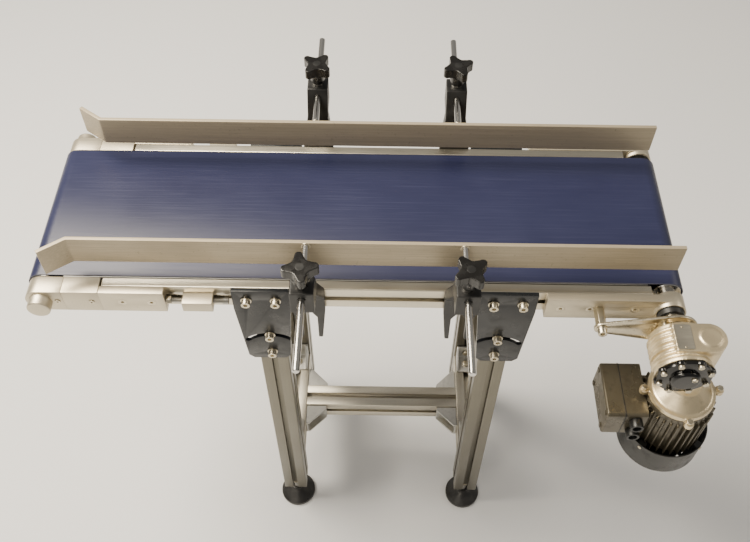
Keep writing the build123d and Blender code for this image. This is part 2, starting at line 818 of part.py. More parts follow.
def drive_shaft():
    """The drive shaft: it runs through both bearings and on through the gearbox's hollow wheel."""
    back = frame_face + drive_plate_thickness + housing_outer_step - edge_break
    step = -(frame_face + drive_plate_thickness + seal_length)
    shaft = rod_along_y(drive_x, axis_height, step, back, drive_journal_radius)
    shaft = chamfer(shaft.edges().filter_by(GeomType.CIRCLE), edge_break)
    return shaft + rod_along_y(drive_x, axis_height, gearbox_y0 + edge_break, step, output_shaft_radius)


# ---- Gearbox ----
def arm_end():
    """The torque arm's far end, as X and Z."""
    return drive_x - arm_reach_x, axis_height - arm_drop


def torque_arm():
    """A thin plate from a ring round the shaft to the stand-off bolt."""
    y0, y1 = arm_y - arm_thickness / 2, arm_y + arm_thickness / 2
    end_x, end_z = arm_end()
    arm = rod_along_y(drive_x, axis_height, y0, y1, arm_ring_radius)
    arm += rod_along_y(end_x, end_z, y0, y1, arm_end_radius)
    angle = math.atan2(axis_height - end_z, drive_x - end_x)
    reach = math.hypot(axis_height - end_z, drive_x - end_x)
    lean = math.asin((arm_ring_radius - arm_end_radius) / reach)
    outline = []
    for sign, bend in ((1, angle + lean), (-1, angle - lean)):
        nx, nz = -math.sin(bend) * sign, math.cos(bend) * sign
        far = (end_x + nx * arm_end_radius, end_z + nz * arm_end_radius)
        near = (drive_x + nx * arm_ring_radius, axis_height + nz * arm_ring_radius)
        outline += [far, near] if sign > 0 else [near, far]
    arm += plate_outline(outline, y0, y1)
    arm -= rod_along_y(drive_x, axis_height, y0 - 1, y1 + 1, seal_radius)
    return arm - rod_along_y(end_x, end_z, y0 - 1, y1 + 1, bolt_radius + clear_gap / 2)


def torque_arm_fixings():
    """The hexagonal stand-off and its bolt, and the spacer bolts between the arm and the gearbox."""
    end_x, end_z = arm_end()
    face = -(frame_face + drive_plate_thickness)
    near, far = arm_y + arm_thickness / 2, arm_y - arm_thickness / 2
    plane = upright_plane(face, -1)
    hexagon = plane * Pos(end_x, end_z) * RegularPolygon(standoff_across / math.sqrt(3), 6)
    fixings = [extrude(hexagon, amount=face - near)]
    fixings.append(cap_screw(end_x, end_z, far, -1, arm_thickness))
    ring = (arm_ring_radius + seal_radius) / 2
    for turn in range(4):
        angle = math.radians(45 + 90 * turn)
        x, z = drive_x + ring * math.cos(angle), axis_height + ring * math.sin(angle)
        spacer = rod_along_y(x, z, far, gearbox_y1, small_head_radius)
        head = rod_along_y(x, z, near, near + bolt_head_height / 2, small_head_radius)
        fixings += [spacer, head]
    return fixings


def gearbox_housing():
    """The cast housing: wheel chamber along Y, flat-topped worm chamber, motor flange with its lugs below."""
    body = rod_along_y(drive_x, axis_height, gearbox_y0, gearbox_y1, wheel_housing_radius)
    body += rod_along_y(drive_x, axis_height, gearbox_y0, gearbox_y0 + gearbox_rim_depth, gearbox_rim_radius)
    body += rod_along_y(drive_x, axis_height, gearbox_y1, arm_y - arm_thickness / 2, gearbox_neck_radius)
    top = axis_height + worm_housing_rise
    body += rod_along_z(worm_x, gear_y, motor_top, top, worm_housing_radius)
    half = gearbox_top_half_width
    body += block(drive_x - gearbox_top_overhang, worm_x, gear_y - half, gear_y + half, axis_height, top)
    low = axis_height - wheel_housing_radius * 0.8
    body += block(drive_x, worm_x, gear_y - half, gear_y + half, low, top)
    neck_bottom = motor_top + motor_flange_thickness
    body += rod_along_z(worm_x, gear_y, motor_top, neck_bottom, motor_flange_radius)
    for turn in range(flange_lug_count):
        angle = 2 * math.pi * turn / flange_lug_count
        lug_x = worm_x + flange_lug_circle * math.cos(angle)
        lug_y = gear_y + flange_lug_circle * math.sin(angle)
        body += rod_along_z(lug_x, lug_y, motor_top, neck_bottom, flange_lug_radius)
    neck = Cone(motor_flange_radius - motor_wall, worm_housing_radius, motor_neck_height)
    body += Pos(worm_x, gear_y, neck_bottom + motor_neck_height / 2) * neck
    pitch = (gearbox_depth - gearbox_rim_depth) / (gearbox_rib_count + 1)
    for index in range(gearbox_rib_count):
        y = gearbox_y1 - pitch * (index + 1)
        ribbed = wheel_housing_radius + gearbox_rib_height
        rib = rod_along_y(drive_x, axis_height, y, y - gearbox_rib_width, ribbed)
        rib_x1 = drive_x - gearbox_top_overhang / 2
        rib &= block(drive_x - 2 * ribbed, rib_x1, y + 1, y - gearbox_rib_width - 1,
                     axis_height - 2 * ribbed, axis_height + 2 * ribbed)
        body += rib
    body += rod_along_z(worm_x, gear_y, top, top + gear_cap_height, gear_cap_radius)
    cavity_half = wheel_width / 2 + 2
    cavity_radius = worm_offset - worm_radius - gear_air_gap + 2
    cavity = rod_along_y(drive_x, axis_height, gear_y - cavity_half, gear_y + cavity_half, cavity_radius)
    hub_end = arm_y - arm_thickness / 2 + 1
    hub = rod_along_y(drive_x, axis_height, gearbox_y0 - 1, hub_end, wheel_hub_radius + clear_gap)
    worm_reach = worm_pitch * worm_turns / 2 + 4
    worm = rod_along_z(worm_x, gear_y, motor_top - 1, axis_height + worm_reach, worm_radius + clear_gap)
    return body - cavity - hub - worm


def cover_bolt_places():
    """The cover bolts' places, as X and Z."""
    steps = [2 * math.pi * (index + 0.5) / cover_bolt_count for index in range(cover_bolt_count)]
    circle = cover_bolt_circle
    return [(drive_x + circle * math.cos(a), axis_height + circle * math.sin(a)) for a in steps]


def gearbox_cover():
    """The dark output cover with its dome."""
    y1 = gearbox_y0
    y0 = y1 - cover_thickness
    cover = rod_along_y(drive_x, axis_height, y0, y1, cover_radius)
    for x, z in cover_bolt_places():
        cover += rod_along_y(x, z, y0, y1, cover_lobe_radius)
    dome = rod_along_y(drive_x, axis_height, y0 - cover_dome_height, y0, cover_dome_radius)
    dome = fillet(dome.edges().filter_by(GeomType.CIRCLE).sort_by(Axis.Y)[0], cover_dome_height * 0.6)
    return cover + dome


def gearbox_cover_bolts():
    """The ring of bolts round the output cover."""
    y = gearbox_y0 - cover_thickness
    return [rod_along_y(x, z, y - bolt_head_height / 2, y, small_head_radius) for x, z in cover_bolt_places()]


def worm_wheel():
    """The bronze wheel on its hollow hub; its tips stand just clear of the worm."""
    tip = worm_offset - worm_radius - gear_air_gap
    root = tip - wheel_tooth_depth
    plane = upright_plane(gear_y + wheel_width / 2, -1)
    section = Circle(root)
    tooth_width = math.pi * tip / wheel_tooth_count
    for index in range(wheel_tooth_count):
        tooth = Pos(tip - wheel_tooth_depth, 0) * Rectangle(2 * wheel_tooth_depth - 0.2, tooth_width)
        section += Rot(0, 0, 360 * index / wheel_tooth_count) * tooth
    wheel = extrude(plane * Pos(drive_x, axis_height) * section, amount=wheel_width)
    wheel += rod_along_y(drive_x, axis_height, gearbox_y0 + edge_break, gearbox_y1, wheel_hub_radius)
    return wheel - rod_along_y(drive_x, axis_height, gearbox_y0, gearbox_y1 + 1, output_shaft_radius)


# ---- Motor ----
def worm_shaft():
    """The motor shaft with the worm's collars on it."""
    shaft = rod_along_z(worm_x, gear_y, cowl_bottom + fan_cowl_wall + 10, axis_height, motor_shaft_radius)
    worm_reach = worm_pitch * worm_turns / 2
    shaft += rod_along_z(worm_x, gear_y, axis_height - worm_reach, axis_height + worm_reach, worm_core_radius)
    for index in range(worm_turns):
        z = axis_height - worm_reach + worm_pitch * (index + 0.25)
        shaft += rod_along_z(worm_x, gear_y, z, z + worm_pitch / 2, worm_radius)
    return shaft


def rotor():
    """The rotor core on the motor shaft."""
    middle = (motor_top + motor_bottom) / 2
    core = rod_along_z(worm_x, gear_y, middle - rotor_length / 2, middle + rotor_length / 2, rotor_radius)
    return core - rod_along_z(worm_x, gear_y, motor_bottom, motor_top, motor_shaft_radius)


def motor_housing():
    """The finned motor casing with its top flange, closed below by an end shield."""
    section = Circle(motor_body_radius)
    for index in range(motor_fin_count):
        fin = Pos((motor_body_radius + motor_fin_radius) / 2 - 1, 0)
        fin *= Rectangle(motor_fin_radius - motor_body_radius + 2, motor_fin_width)
        section += Rot(0, 0, 360 * index / motor_fin_count) * fin
    top = motor_top - motor_flange_thickness
    casing = extrude(Plane(origin=(worm_x, gear_y, motor_bottom)) * section, amount=motor_body_length)
    casing += rod_along_z(worm_x, gear_y, top, motor_top, motor_flange_radius)
    x1, z0, z1, y0, y1 = box_limits()
    near, far = y0 + box_neck_inset, y1 - box_neck_inset
    neck = block(x1, worm_x, near, far, z0 + box_neck_inset, z1 - box_neck_inset)
    room = clear_gap / 2
    casing -= block(x1 - box_base_depth, x1, y0 - room, y1 + room, z0 - room, z1 + room)
    casing += neck
    inner = motor_body_radius - 3 * motor_wall
    casing -= rod_along_z(worm_x, gear_y, motor_bottom + 2 * motor_wall, top - motor_wall, inner)
    bore = rod_along_z(worm_x, gear_y, motor_bottom - 1, motor_top + 1, motor_shaft_radius + running_fit)
    return casing - bore


def fan_cowl():
    """The pressed cowl over the fan, with inlet slots in its end."""
    cowl_top = cowl_bottom + fan_cowl_length
    shell = rod_along_z(worm_x, gear_y, cowl_bottom, cowl_top, fan_cowl_radius)
    shell = fillet(shell.edges().filter_by(GeomType.CIRCLE).sort_by(Axis.Z)[0], fan_cowl_wall * 4)
    floor, bore = cowl_bottom + fan_cowl_wall, fan_cowl_radius - fan_cowl_wall
    inner = rod_along_z(worm_x, gear_y, floor, cowl_top + 1, bore)
    inner = fillet(inner.edges().filter_by(GeomType.CIRCLE).sort_by(Axis.Z)[0], fan_cowl_wall * 3)
    shell -= inner
    for ring in cowl_ring_shares:
        radius = fan_cowl_radius * ring
        cut = rod_along_z(worm_x, gear_y, cowl_bottom - 1, floor + 1, radius + fan_cowl_wall)
        cut -= rod_along_z(worm_x, gear_y, cowl_bottom - 1, floor + 1, radius - fan_cowl_wall)
        for turn in (0, 90):
            spoke = Pos(worm_x, gear_y, cowl_bottom) * Rot(0, 0, turn + 45)
            cut -= spoke * Box(2 * fan_cowl_radius, motor_wall, 4 * motor_wall)
        shell -= cut
    for turn in range(4):
        lug = Pos(worm_x, gear_y, 0) * Rot(0, 0, 45 + 90 * turn)
        low, high = cowl_top - 2 * motor_wall, cowl_top
        reach = fan_cowl_radius - fan_cowl_wall / 2
        shell += lug * block(motor_fin_radius, reach, -motor_wall, motor_wall, low, high)
    return shell


def fan():
    """The shaft-end fan."""
    z0 = cowl_bottom + fan_cowl_wall + 11
    hub = rod_along_z(worm_x, gear_y, z0, z0 + fan_blade_height, motor_shaft_radius * 2)
    disc = rod_along_z(worm_x, gear_y, z0 + fan_blade_height - 2, z0 + fan_blade_height, fan_radius)
    wheel = hub + disc
    for index in range(fan_blade_count):
        blade = block(motor_shaft_radius, fan_radius, -1, 1, z0, z0 + fan_blade_height)
        wheel += Pos(worm_x, gear_y, 0) * Rot(0, 0, 360 * index / fan_blade_count) * blade
    return wheel - rod_along_z(worm_x, gear_y, z0 - 1, z0 + fan_blade_height + 1, motor_shaft_radius)


def box_limits():
    """The terminal box's motor-side X, its Z range, and its Y range."""
    x1 = worm_x - box_from_motor
    z1 = motor_top - box_top_below_flange
    y = gear_y + box_shift
    return x1, z1 - box_height, z1, y - box_half_width, y + box_half_width


def terminal_box():
    """The cast terminal box base on the motor's side."""
    x1, z0, z1, y0, y1 = box_limits()
    base = block(x1 - box_base_depth, x1, y0, y1, z0, z1)
    return fillet(base.edges().filter_by(Axis.X), motor_wall)


def terminal_box_lid():
    """The terminal box's lid with its four screws."""
    x1, z0, z1, y0, y1 = box_limits()
    face = x1 - box_base_depth
    lid = block(face - box_lid_depth, face, y0, y1, z0, z1)
    lid = fillet(lid.edges().filter_by(Axis.X), motor_wall)
    lid = fillet(lid.faces().sort_by(Axis.X)[0].edges(), motor_wall * 0.6)
    inset = 2 * motor_wall * 0.8
    for y in (y0 + inset, y1 - inset):
        for z in (z0 + inset, z1 - inset):
            head = face - box_lid_depth
            lid += rod_along_x(y, z, head - edge_break * 1.5, head, small_head_radius)
    return lid


def cable_glands():
    """Two cable entries with blanking plugs, on the box's operator side."""
    x1, z0, z1, y0, _ = box_limits()
    x = x1 - box_base_depth / 2
    plugs = []
    for step in (0, 1):
        z = z0 + gland_rise + gland_spacing * step
        plug = rod_along_y(x, z, y0 - gland_length, y0, gland_radius)
        plug -= rod_along_y(x, z, y0 - gland_length - 1, y0 - gland_length / 2, gland_radius * 0.65)
        plugs.append(plug)
    return plugs


# ---- Side guides ----
def guide_rail(side):
    """A flat bar on edge, with its infeed end bent outwards."""
    y_in, y_out = side * rail_inner_offset, side * (rail_inner_offset + rail_thickness)
    bend_x = tail_x + rail_bend_from_tail
    end_x = drive_x + rail_end_from_drive
    angle = math.radians(rail_flare_angle)
    dx, dy = -rail_flare_length * math.cos(angle), side * rail_flare_length * math.sin(angle)
    shift = rail_thickness * math.tan(angle / 2)
    nx, ny = rail_thickness * math.sin(angle), side * rail_thickness * math.cos(angle)
    inner_bend, outer_bend = (bend_x, y_in), (bend_x + shift, y_out)
    tip = (bend_x + dx, y_in + dy)
    outline = [inner_bend, (end_x, y_in), (end_x, y_out), outer_bend, (tip[0] + nx, tip[1] + ny), tip]
    face = make_face(Polyline([(x, y, rail_bottom) for x, y in outline], close=True))
    rail = extrude(face, amount=rail_height, dir=(0, 0, 1))
    bend_edges = [e for e in rail.edges().filter_by(Axis.Z) if abs(e.center().X - bend_x) < 3]
    rail = fillet(bend_edges, rail_thickness)
    long_edges = rail.edges().filter_by(Axis.X)
    return chamfer(long_edges, edge_break * 0.5)


def guide_rod(x, side):
    """A round rod from the rail's back out through the clamp."""
    y0 = side * (rail_inner_offset + rail_thickness)
    rod = rod_along_y(x, rod_height, y0, side * rod_outer_reach, rod_radius)
    end = rod.edges().filter_by(GeomType.CIRCLE).sort_by(Axis.Y)[0 if side < 0 else -1]
    return chamfer(end, edge_break)


def guide_bracket(x, side):
    """A moulded bracket: forked slotted base on the frame, sloping arm, and a head bored for the rod."""
    base, head0 = bracket_base_thickness, bracket_head_start
    head1 = head0 + bracket_head_depth
    low = frame_bottom - bracket_foot_drop
    arm = frame_top + bracket_arm_start
    head_low = head_top - bracket_head_height
    side_view = [(0, low), (0, arm), (head0, head_top), (head1, head_top), (head1, head_low)]
    side_view += [(head0, head_low), (base, frame_top - frame_height / 4), (base, low)]
    points = [(0, side * (frame_face + d), z) for d, z in side_view]
    half = bracket_half_width
    body = extrude(make_face(Polyline(points, close=True)), amount=half, dir=(1, 0, 0), both=True)
    front = [(bracket_foot_half_width, low), (half, frame_bottom), (half, arm)]
    front.append((bracket_head_half_width, head_low))
    front += [(bracket_head_half_width, head_top)]
    outline = [(px, z) for px, z in front] + [(-px, z) for px, z in front[::-1]]
    body &= plate_outline(outline, side * (frame_face - 1), side * (frame_face + head1 + 1))
    fork = bracket_fork_width / 2
    slot = bracket_slot_width / 2
    fork_top = low + bracket_fork_height
    slot_top = axis_height + bracket_slot_above_bolt - slot
    cut = [(fork, low - 1), (fork, fork_top - fork), (slot, fork_top), (slot, slot_top)]
    cut = [(px, z) for px, z in cut] + [(-px, z) for px, z in cut[::-1]]
    reach = side * (frame_face + base + 1)
    body -= plate_outline(cut, side * (frame_face - 1), reach)
    body -= rod_along_y(0, slot_top, side * (frame_face - 1), reach, slot)
    body = fillet(body.faces().sort_by(Axis.Z)[-1].edges(), edge_break)
    hole = rod_radius + running_fit
    body -= rod_along_y(0, rod_height, side * frame_face, side * (frame_face + head1 + 1), hole)
    knob_y = side * (frame_face + head0 + bracket_head_depth / 2)
    body -= rod_along_z(0, knob_y, rod_height, head_top + 1, knob_stud_radius + running_fit)
    return Pos(x, 0, 0) * body


def bracket_bolts():
    """One screw with its washer and slot nut through each bracket's slot."""
    screws = []
    for side in (-1, 1):
        face = side * (frame_face + bracket_base_thickness + slide_gap)
        for x in rod_xs:
            reach = bracket_base_thickness + slot_lip + t_nut_height
            screw = cap_screw(x, axis_height, face, side, reach)
            screws.append(screw + t_nut(x, axis_height, side * frame_face, side, bolt_radius / 2))
    return screws


def knob_y(side):
    """The clamp knob's axis."""
    return side * (frame_face + bracket_head_start + bracket_head_depth / 2)


def clamp_collar(x, side):
    """The plated collar between the bracket's head and the knob."""
    y = knob_y(side)
    collar = rod_along_z(x, y, head_top, head_top + collar_height, collar_radius)
    collar = chamfer(collar.edges().filter_by(GeomType.CIRCLE), edge_break * 0.6)
    bore = knob_stud_radius + running_fit
    return collar - rod_along_z(x, y, head_top - 1, head_top + collar_height + 1, bore)


def clamp_knob(x, side, turn):
    """A four-lobed knob with its stud, which clamps the rod."""
    base = head_top + collar_height + clear_gap / 2
    top = base + knob_height
    reach = knob_reach - knob_lobe_radius
    star = Circle(knob_waist_radius + 1)
    tips = [(reach * math.cos(math.pi * i / 2), reach * math.sin(math.pi * i / 2)) for i in range(4)]
    for index, (px, py) in enumerate(tips):
        angle = math.pi * index / 2
        side_x, side_y = -math.sin(angle) * knob_lobe_radius, math.cos(angle) * knob_lobe_radius
        root_x, root_y = -math.sin(angle) * knob_waist_radius, math.cos(angle) * knob_waist_radius
        arm = Polyline([(px + side_x, py + side_y), (px - side_x, py - side_y), (-root_x, -root_y),
                        (root_x, root_y)], close=True)
        star += make_face(arm)
        star += Pos(px, py) * Circle(knob_lobe_radius)
    head = extrude(Plane(origin=(0, 0, top - knob_star_height)) * star, amount=knob_star_height)
    hub_height = knob_height - knob_star_height
    hub = Cone(knob_hub_radius, knob_waist_radius + knob_hub_flare, hub_height)
    hub = Pos(0, 0, base + hub_height / 2) * hub
    stud = rod_along_z(0, 0, rod_height + rod_radius + knob_stud_gap, base, knob_stud_radius)
    return Pos(x, knob_y(side), 0) * Rot(0, 0, turn) * (head + hub + stud)


# ---- Build ----
sides = {"front": -1, "back": 1}
ends = {"left": leg_xs[0], "right": leg_xs[1]}
knob_turns = {("front", "left"): 8, ("front", "right"): 35, ("back", "left"): 52, ("back", "right"): 25}

for name, side in sides.items():
    save(f"side_frame_{name}", side_frame(side))
    save(f"tension_screw_{name}", tension_screw(side))
    save(f"guide_rail_{name}", guide_rail(side))
    save(f"guide_rods_{name}", *[guide_rod(x, side) for x in rod_xs])

save("drive_plates", *[drive_plate(side) for side in (-1, 1)])
save("guide_brackets", *[guide_bracket(x, side) for x in rod_xs for side in (-1, 1)])
save("slider_bed", slider_bed())
save("bed_cross_members", *cross_members())
save("conveyor_belt", conveyor_belt())

save("tail_nose_caps", *[nose_cap(side) for side in (-1, 1)])
save("tail_bearing_blocks", *[bearing_block(side) for side in (-1, 1)])
save("tail_slide_blocks", *[slide_block(side) for side in (-1, 1)])
save("tail_screws", *tail_screws())
save("tail_axle", tail_axle())
save("tail_roller", tail_roller())
save("tail_bearings", *tail_bearings())
save("tension_jam_nuts", *[jam_nut(side) for side in (-1, 1)])
save("tension_reaction_blocks", *[reaction_block(side) for side in (-1, 1)])

save("drive_plate_screws", *drive_plate_screws())
save("drive_bearings", *drive_bearings())
save("drive_roller", drive_roller())
save("drive_shaft", drive_shaft())

for name, x in ends.items():
    save(f"legs_{name}", *[leg(x, side) for side in (-1, 1)])
save("stand_bars", *[stand_bar(x) for x in leg_xs], stand_cross_bar())
save("corner_gussets", *corner_gussets())
save("gusset_screws", *gusset_heads)
save("leg_plates", *[leg_plate(x, side) for x in leg_xs for side in (-1, 1)])
save("slot_screws", *leg_plate_bolts(), *bracket_bolts())

for side_name, side in sides.items():
    for end_name, x in ends.items():
        place = f"{side_name}_{end_name}"
        save(f"foot_pad_{place}", foot_pad(x, side * leg_y))
        save(f"foot_spindle_{place}", foot_spindle(x, side * leg_y))
        rod_x = rod_xs[0] if end_name == "left" else rod_xs[1]
        save(f"clamp_knob_{place}", clamp_knob(rod_x, side, knob_turns[(side_name, end_name)]))
save("foot_lock_nuts", *[foot_nut(x, side * leg_y) for x in leg_xs for side in (-1, 1)])
save("clamp_collars", *[clamp_collar(x, side) for x in rod_xs for side in (-1, 1)])

save("torque_arm", torque_arm())
save("torque_arm_fixings", *torque_arm_fixings())
save("gearbox_housing", gearbox_housing())
save("gearbox_cover", gearbox_cover())
save("gearbox_cover_bolts", *gearbox_cover_bolts())
save("worm_wheel", worm_wheel())
save("worm_shaft", worm_shaft() + rotor())
save("motor_housing", motor_housing())
save("motor_fan_cowl", fan_cowl())
save("motor_fan", fan())
save("terminal_box", terminal_box())
save("terminal_box_lid", terminal_box_lid())
save("cable_glands", *cable_glands())
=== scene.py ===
"""A short belt conveyor section on two profile stands: its finishes, fine details, light and camera.

Every length is in metres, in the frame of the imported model: X towards the drive end, Y towards the far
side, Z up, and the floor at zero.
"""

import json
import logging
import math
from dataclasses import dataclass, field
from enum import Enum
from typing import Any, Callable, Iterable, Sequence, Union

import bpy
from mathutils import Matrix, Vector


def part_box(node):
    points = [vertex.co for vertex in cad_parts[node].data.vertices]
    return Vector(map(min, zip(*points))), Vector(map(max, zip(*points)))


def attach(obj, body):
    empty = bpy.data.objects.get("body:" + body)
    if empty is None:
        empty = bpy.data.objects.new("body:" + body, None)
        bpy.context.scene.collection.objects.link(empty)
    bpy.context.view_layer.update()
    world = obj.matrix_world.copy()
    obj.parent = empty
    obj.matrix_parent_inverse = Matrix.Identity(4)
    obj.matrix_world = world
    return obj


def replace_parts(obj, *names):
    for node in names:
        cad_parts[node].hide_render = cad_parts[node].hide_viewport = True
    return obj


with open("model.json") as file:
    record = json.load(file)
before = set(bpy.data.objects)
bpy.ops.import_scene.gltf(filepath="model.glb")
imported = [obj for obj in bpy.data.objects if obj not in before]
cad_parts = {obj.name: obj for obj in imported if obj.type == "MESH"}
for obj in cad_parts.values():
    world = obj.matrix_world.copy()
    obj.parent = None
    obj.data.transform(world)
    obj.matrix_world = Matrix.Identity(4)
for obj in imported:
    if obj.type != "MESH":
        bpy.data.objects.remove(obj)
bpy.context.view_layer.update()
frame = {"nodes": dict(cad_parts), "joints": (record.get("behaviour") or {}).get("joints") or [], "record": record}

LOG = logging.getLogger("conveyor")
MM = 0.001

Colour = tuple[float, float, float]
Triple = tuple[float, float, float]
Number = Union[float, "Socket"]


# ---------------------------------------------------------------------------------------------------
# Shader maths
# ---------------------------------------------------------------------------------------------------
class Socket:
    """A shader node's output that takes part in Python arithmetic."""

    def __init__(self, graph: "Graph", link: bpy.types.NodeSocket) -> None:
        """Wraps one output.

        Args:
            graph: The material graph that the output belongs to.
            link: The output itself.
        """
        self.graph = graph
        self.link = link

    def __add__(self, other: Number) -> "Socket":
        """This value plus another."""
        return self.graph.math("ADD", self, other)

    def __radd__(self, other: Number) -> "Socket":
        """Another value plus this one."""
        return self.graph.math("ADD", other, self)

    def __sub__(self, other: Number) -> "Socket":
        """This value less another."""
        return self.graph.math("SUBTRACT", self, other)

    def __rsub__(self, other: Number) -> "Socket":
        """Another value less this one."""
        return self.graph.math("SUBTRACT", other, self)

    def __mul__(self, other: Number) -> "Socket":
        """This value times another."""
        return self.graph.math("MULTIPLY", self, other)

    def __truediv__(self, other: Number) -> "Socket":
        """This value divided by another."""
        return self.graph.math("DIVIDE", self, other)

    def over(self, edge: float) -> "Socket":
        """One where this value is greater than an edge, and zero elsewhere."""
        return self.graph.math("GREATER_THAN", self, edge)

    def size(self) -> "Socket":
        """This value without its sign."""
        return self.graph.math("ABSOLUTE", self)

    def stretched(self, low: float, high: float) -> "Socket":
        """This value's range from low to high, spread over zero to one and held there.

        Args:
            low: The value that becomes zero.
            high: The value that becomes one.

        Returns:
            The spread value.
        """
        return self.graph.node("ShaderNodeMapRange", {"clamp": True},
                               {"Value": self, "From Min": low, "From Max": high})


class Graph:
    """One material and the nodes in it."""

    def __init__(self, name: str) -> None:
        """Starts an empty material.

        Args:
            name: The material's name.
        """
        self.material = bpy.data.materials.new(name)
        self.material.use_nodes = True
        self.tree = self.material.node_tree
        self.tree.nodes.clear()
        self.place = self.node("ShaderNodeTexCoord", output="Object")

    def node(self, kind: str, settings: dict[str, Any] | None = None,
             values: dict[str | int, Any] | None = None, output: str | int = 0) -> Socket:
        """Adds a node.

        Args:
            kind: The node's type.
            settings: Its properties, set before its sockets; "stops" are a ramp's (place, colour) pairs.
            values: Numbers, colours or sockets for its inputs.
            output: The output to return.

        Returns:
            The chosen output.
        """
        made = self.tree.nodes.new(kind)
        for key, value in (settings or {}).items():
            if key == "stops":
                ramp = made.color_ramp.elements
                while len(ramp) < len(value):
                    ramp.new(1.0)
                for element, (place, colour) in zip(ramp, value):
                    element.position, element.color = place, (*colour, 1.0)
            else:
                setattr(made, key, value)
        for key, value in (values or {}).items():
            if isinstance(value, Socket):
                self.tree.links.new(value.link, made.inputs[key])
            else:
                made.inputs[key].default_value = value
        return Socket(self, made.outputs[output])

    def math(self, operation: str, first: Number, second: Number = 0.0) -> Socket:
        """A Math node on one or two values."""
        return self.node("ShaderNodeMath", {"operation": operation}, {0: first, 1: second})

    def mix(self, share: Number, first: Any, second: Any) -> Socket:
        """Two colours mixed.

        Args:
            share: How much of the second colour shows, from zero to one.
            first: The first colour, as three numbers or a socket.
            second: The second colour.

        Returns:
            The mixed colour.
        """
        shades = [c if isinstance(c, Socket) else (*c, 1.0) for c in (first, second)]
        return self.node("ShaderNodeMix", {"data_type": "RGBA"},
                         {"Factor": share, 6: shades[0], 7: shades[1]}, output=2)

    def scaled_place(self, scale: Triple) -> Socket:
        """The object's own coordinates, stretched along each axis."""
        return self.node("ShaderNodeVectorMath", {"operation": "MULTIPLY"}, {0: self.place, 1: scale})

    def noise(self, scale: float, detail: float = 3.0, stretch: Triple = (1.0, 1.0, 1.0)) -> Socket:
        """Noise on the object's own coordinates.

        Args:
            scale: Patches in a metre.
            detail: Octaves.
            stretch: A factor on the scale along each axis.

        Returns:
            The noise, about one half on average.
        """
        place = self.scaled_place((scale * stretch[0], scale * stretch[1], scale * stretch[2]))
        return self.node("ShaderNodeTexNoise", values={"Vector": place, "Scale": 1.0, "Detail": detail})

    def axis(self, index: int) -> Socket:
        """One of the object's own coordinates, in metres."""
        return self.node("ShaderNodeSeparateXYZ", values={0: self.place}, output=index)

    def bumped(self, height: Socket, depth: float, strength: float = 1.0) -> Socket:
        """A surface normal from a height.

        Args:
            height: The height, from zero to one.
            depth: How far the surface rises from zero to one, in metres.
            strength: How much of it shows.

        Returns:
            The normal.
        """
        return self.node("ShaderNodeBump", values={"Height": height, "Distance": depth, "Strength": strength})

    def finish(self, colour: Any, roughness: Number, metallic: float, normal: Socket,
               **constants: float) -> bpy.types.Material:
        """Joins everything to one Principled shader.

        Args:
            colour: The base colour.
            roughness: The roughness.
            metallic: How metallic it is.
            normal: The surface normal.
            **constants: Other sockets by name, with _ for a space, held at one value.

        Returns:
            The finished material.
        """
        values: dict[str | int, Any] = {"Base Color": colour, "Roughness": roughness, "Metallic": metallic,
                                        "Normal": normal}
        values.update({key.replace("_", " "): value for key, value in constants.items()})
        shader = self.node("ShaderNodeBsdfPrincipled", values=values)
        self.node_output(shader)
        return self.material

    def node_output(self, shader: Socket) -> None:
        """Joins a shader to the material's output."""
        made = self.tree.nodes.new("ShaderNodeOutputMaterial")
        self.tree.links.new(shader.link, made.inputs["Surface"])


# ---------------------------------------------------------------------------------------------------
# Finishes
# ---------------------------------------------------------------------------------------------------
class Grain(Enum):
    """The way that brushing, rolling or drawing lines run."""

    ALONG_X = (0.012, 1.0, 1.0)
    ALONG_Y = (1.0, 0.012, 1.0)
    ALONG_Z = (1.0, 1.0, 0.012)
    EVEN = (1.0, 1.0, 1.0)


@dataclass(frozen=True)
class BrushedMetal:
    """Bare metal with fine lines, faint smears and small marks from handling."""

    name: str
    colour: Colour
    roughness: float
    grain: Grain = Grain.EVEN
    lines: float = 2600.0
    contrast: float = 0.18
    line_depth: float = 0.00001
    marks: float = 0.35
    metallic: float = 1.0

    def build(self) -> bpy.types.Material:
        """Makes the material."""
        graph = Graph(self.name)
        lines = graph.noise(self.lines, 2.0, self.grain.value)
        broad = graph.noise(self.lines / 9, 2.0, self.grain.value)
        smears = graph.noise(13.0, 4.0).stretched(0.38, 0.68)
        spots = graph.noise(220.0, 2.0).stretched(0.66, 0.74)
        streak = (lines * 0.6 + broad * 0.4).stretched(0.32, 0.68)
        dark = tuple(c * (1 - self.contrast) for c in self.colour)
        tone = graph.mix(streak, dark, self.colour)
        tone = graph.mix(smears * (0.35 * self.marks), tone, tuple(c * 0.72 for c in self.colour))
        tone = graph.mix(spots * (0.5 * self.marks), tone, tuple(c * 0.45 for c in self.colour))
        rough = self.roughness + (streak - 0.5) * 0.1 + smears * (0.16 * self.marks)
        normal = graph.bumped(streak, self.line_depth, 0.6)
        return graph.finish(tone, rough, self.metallic, normal)


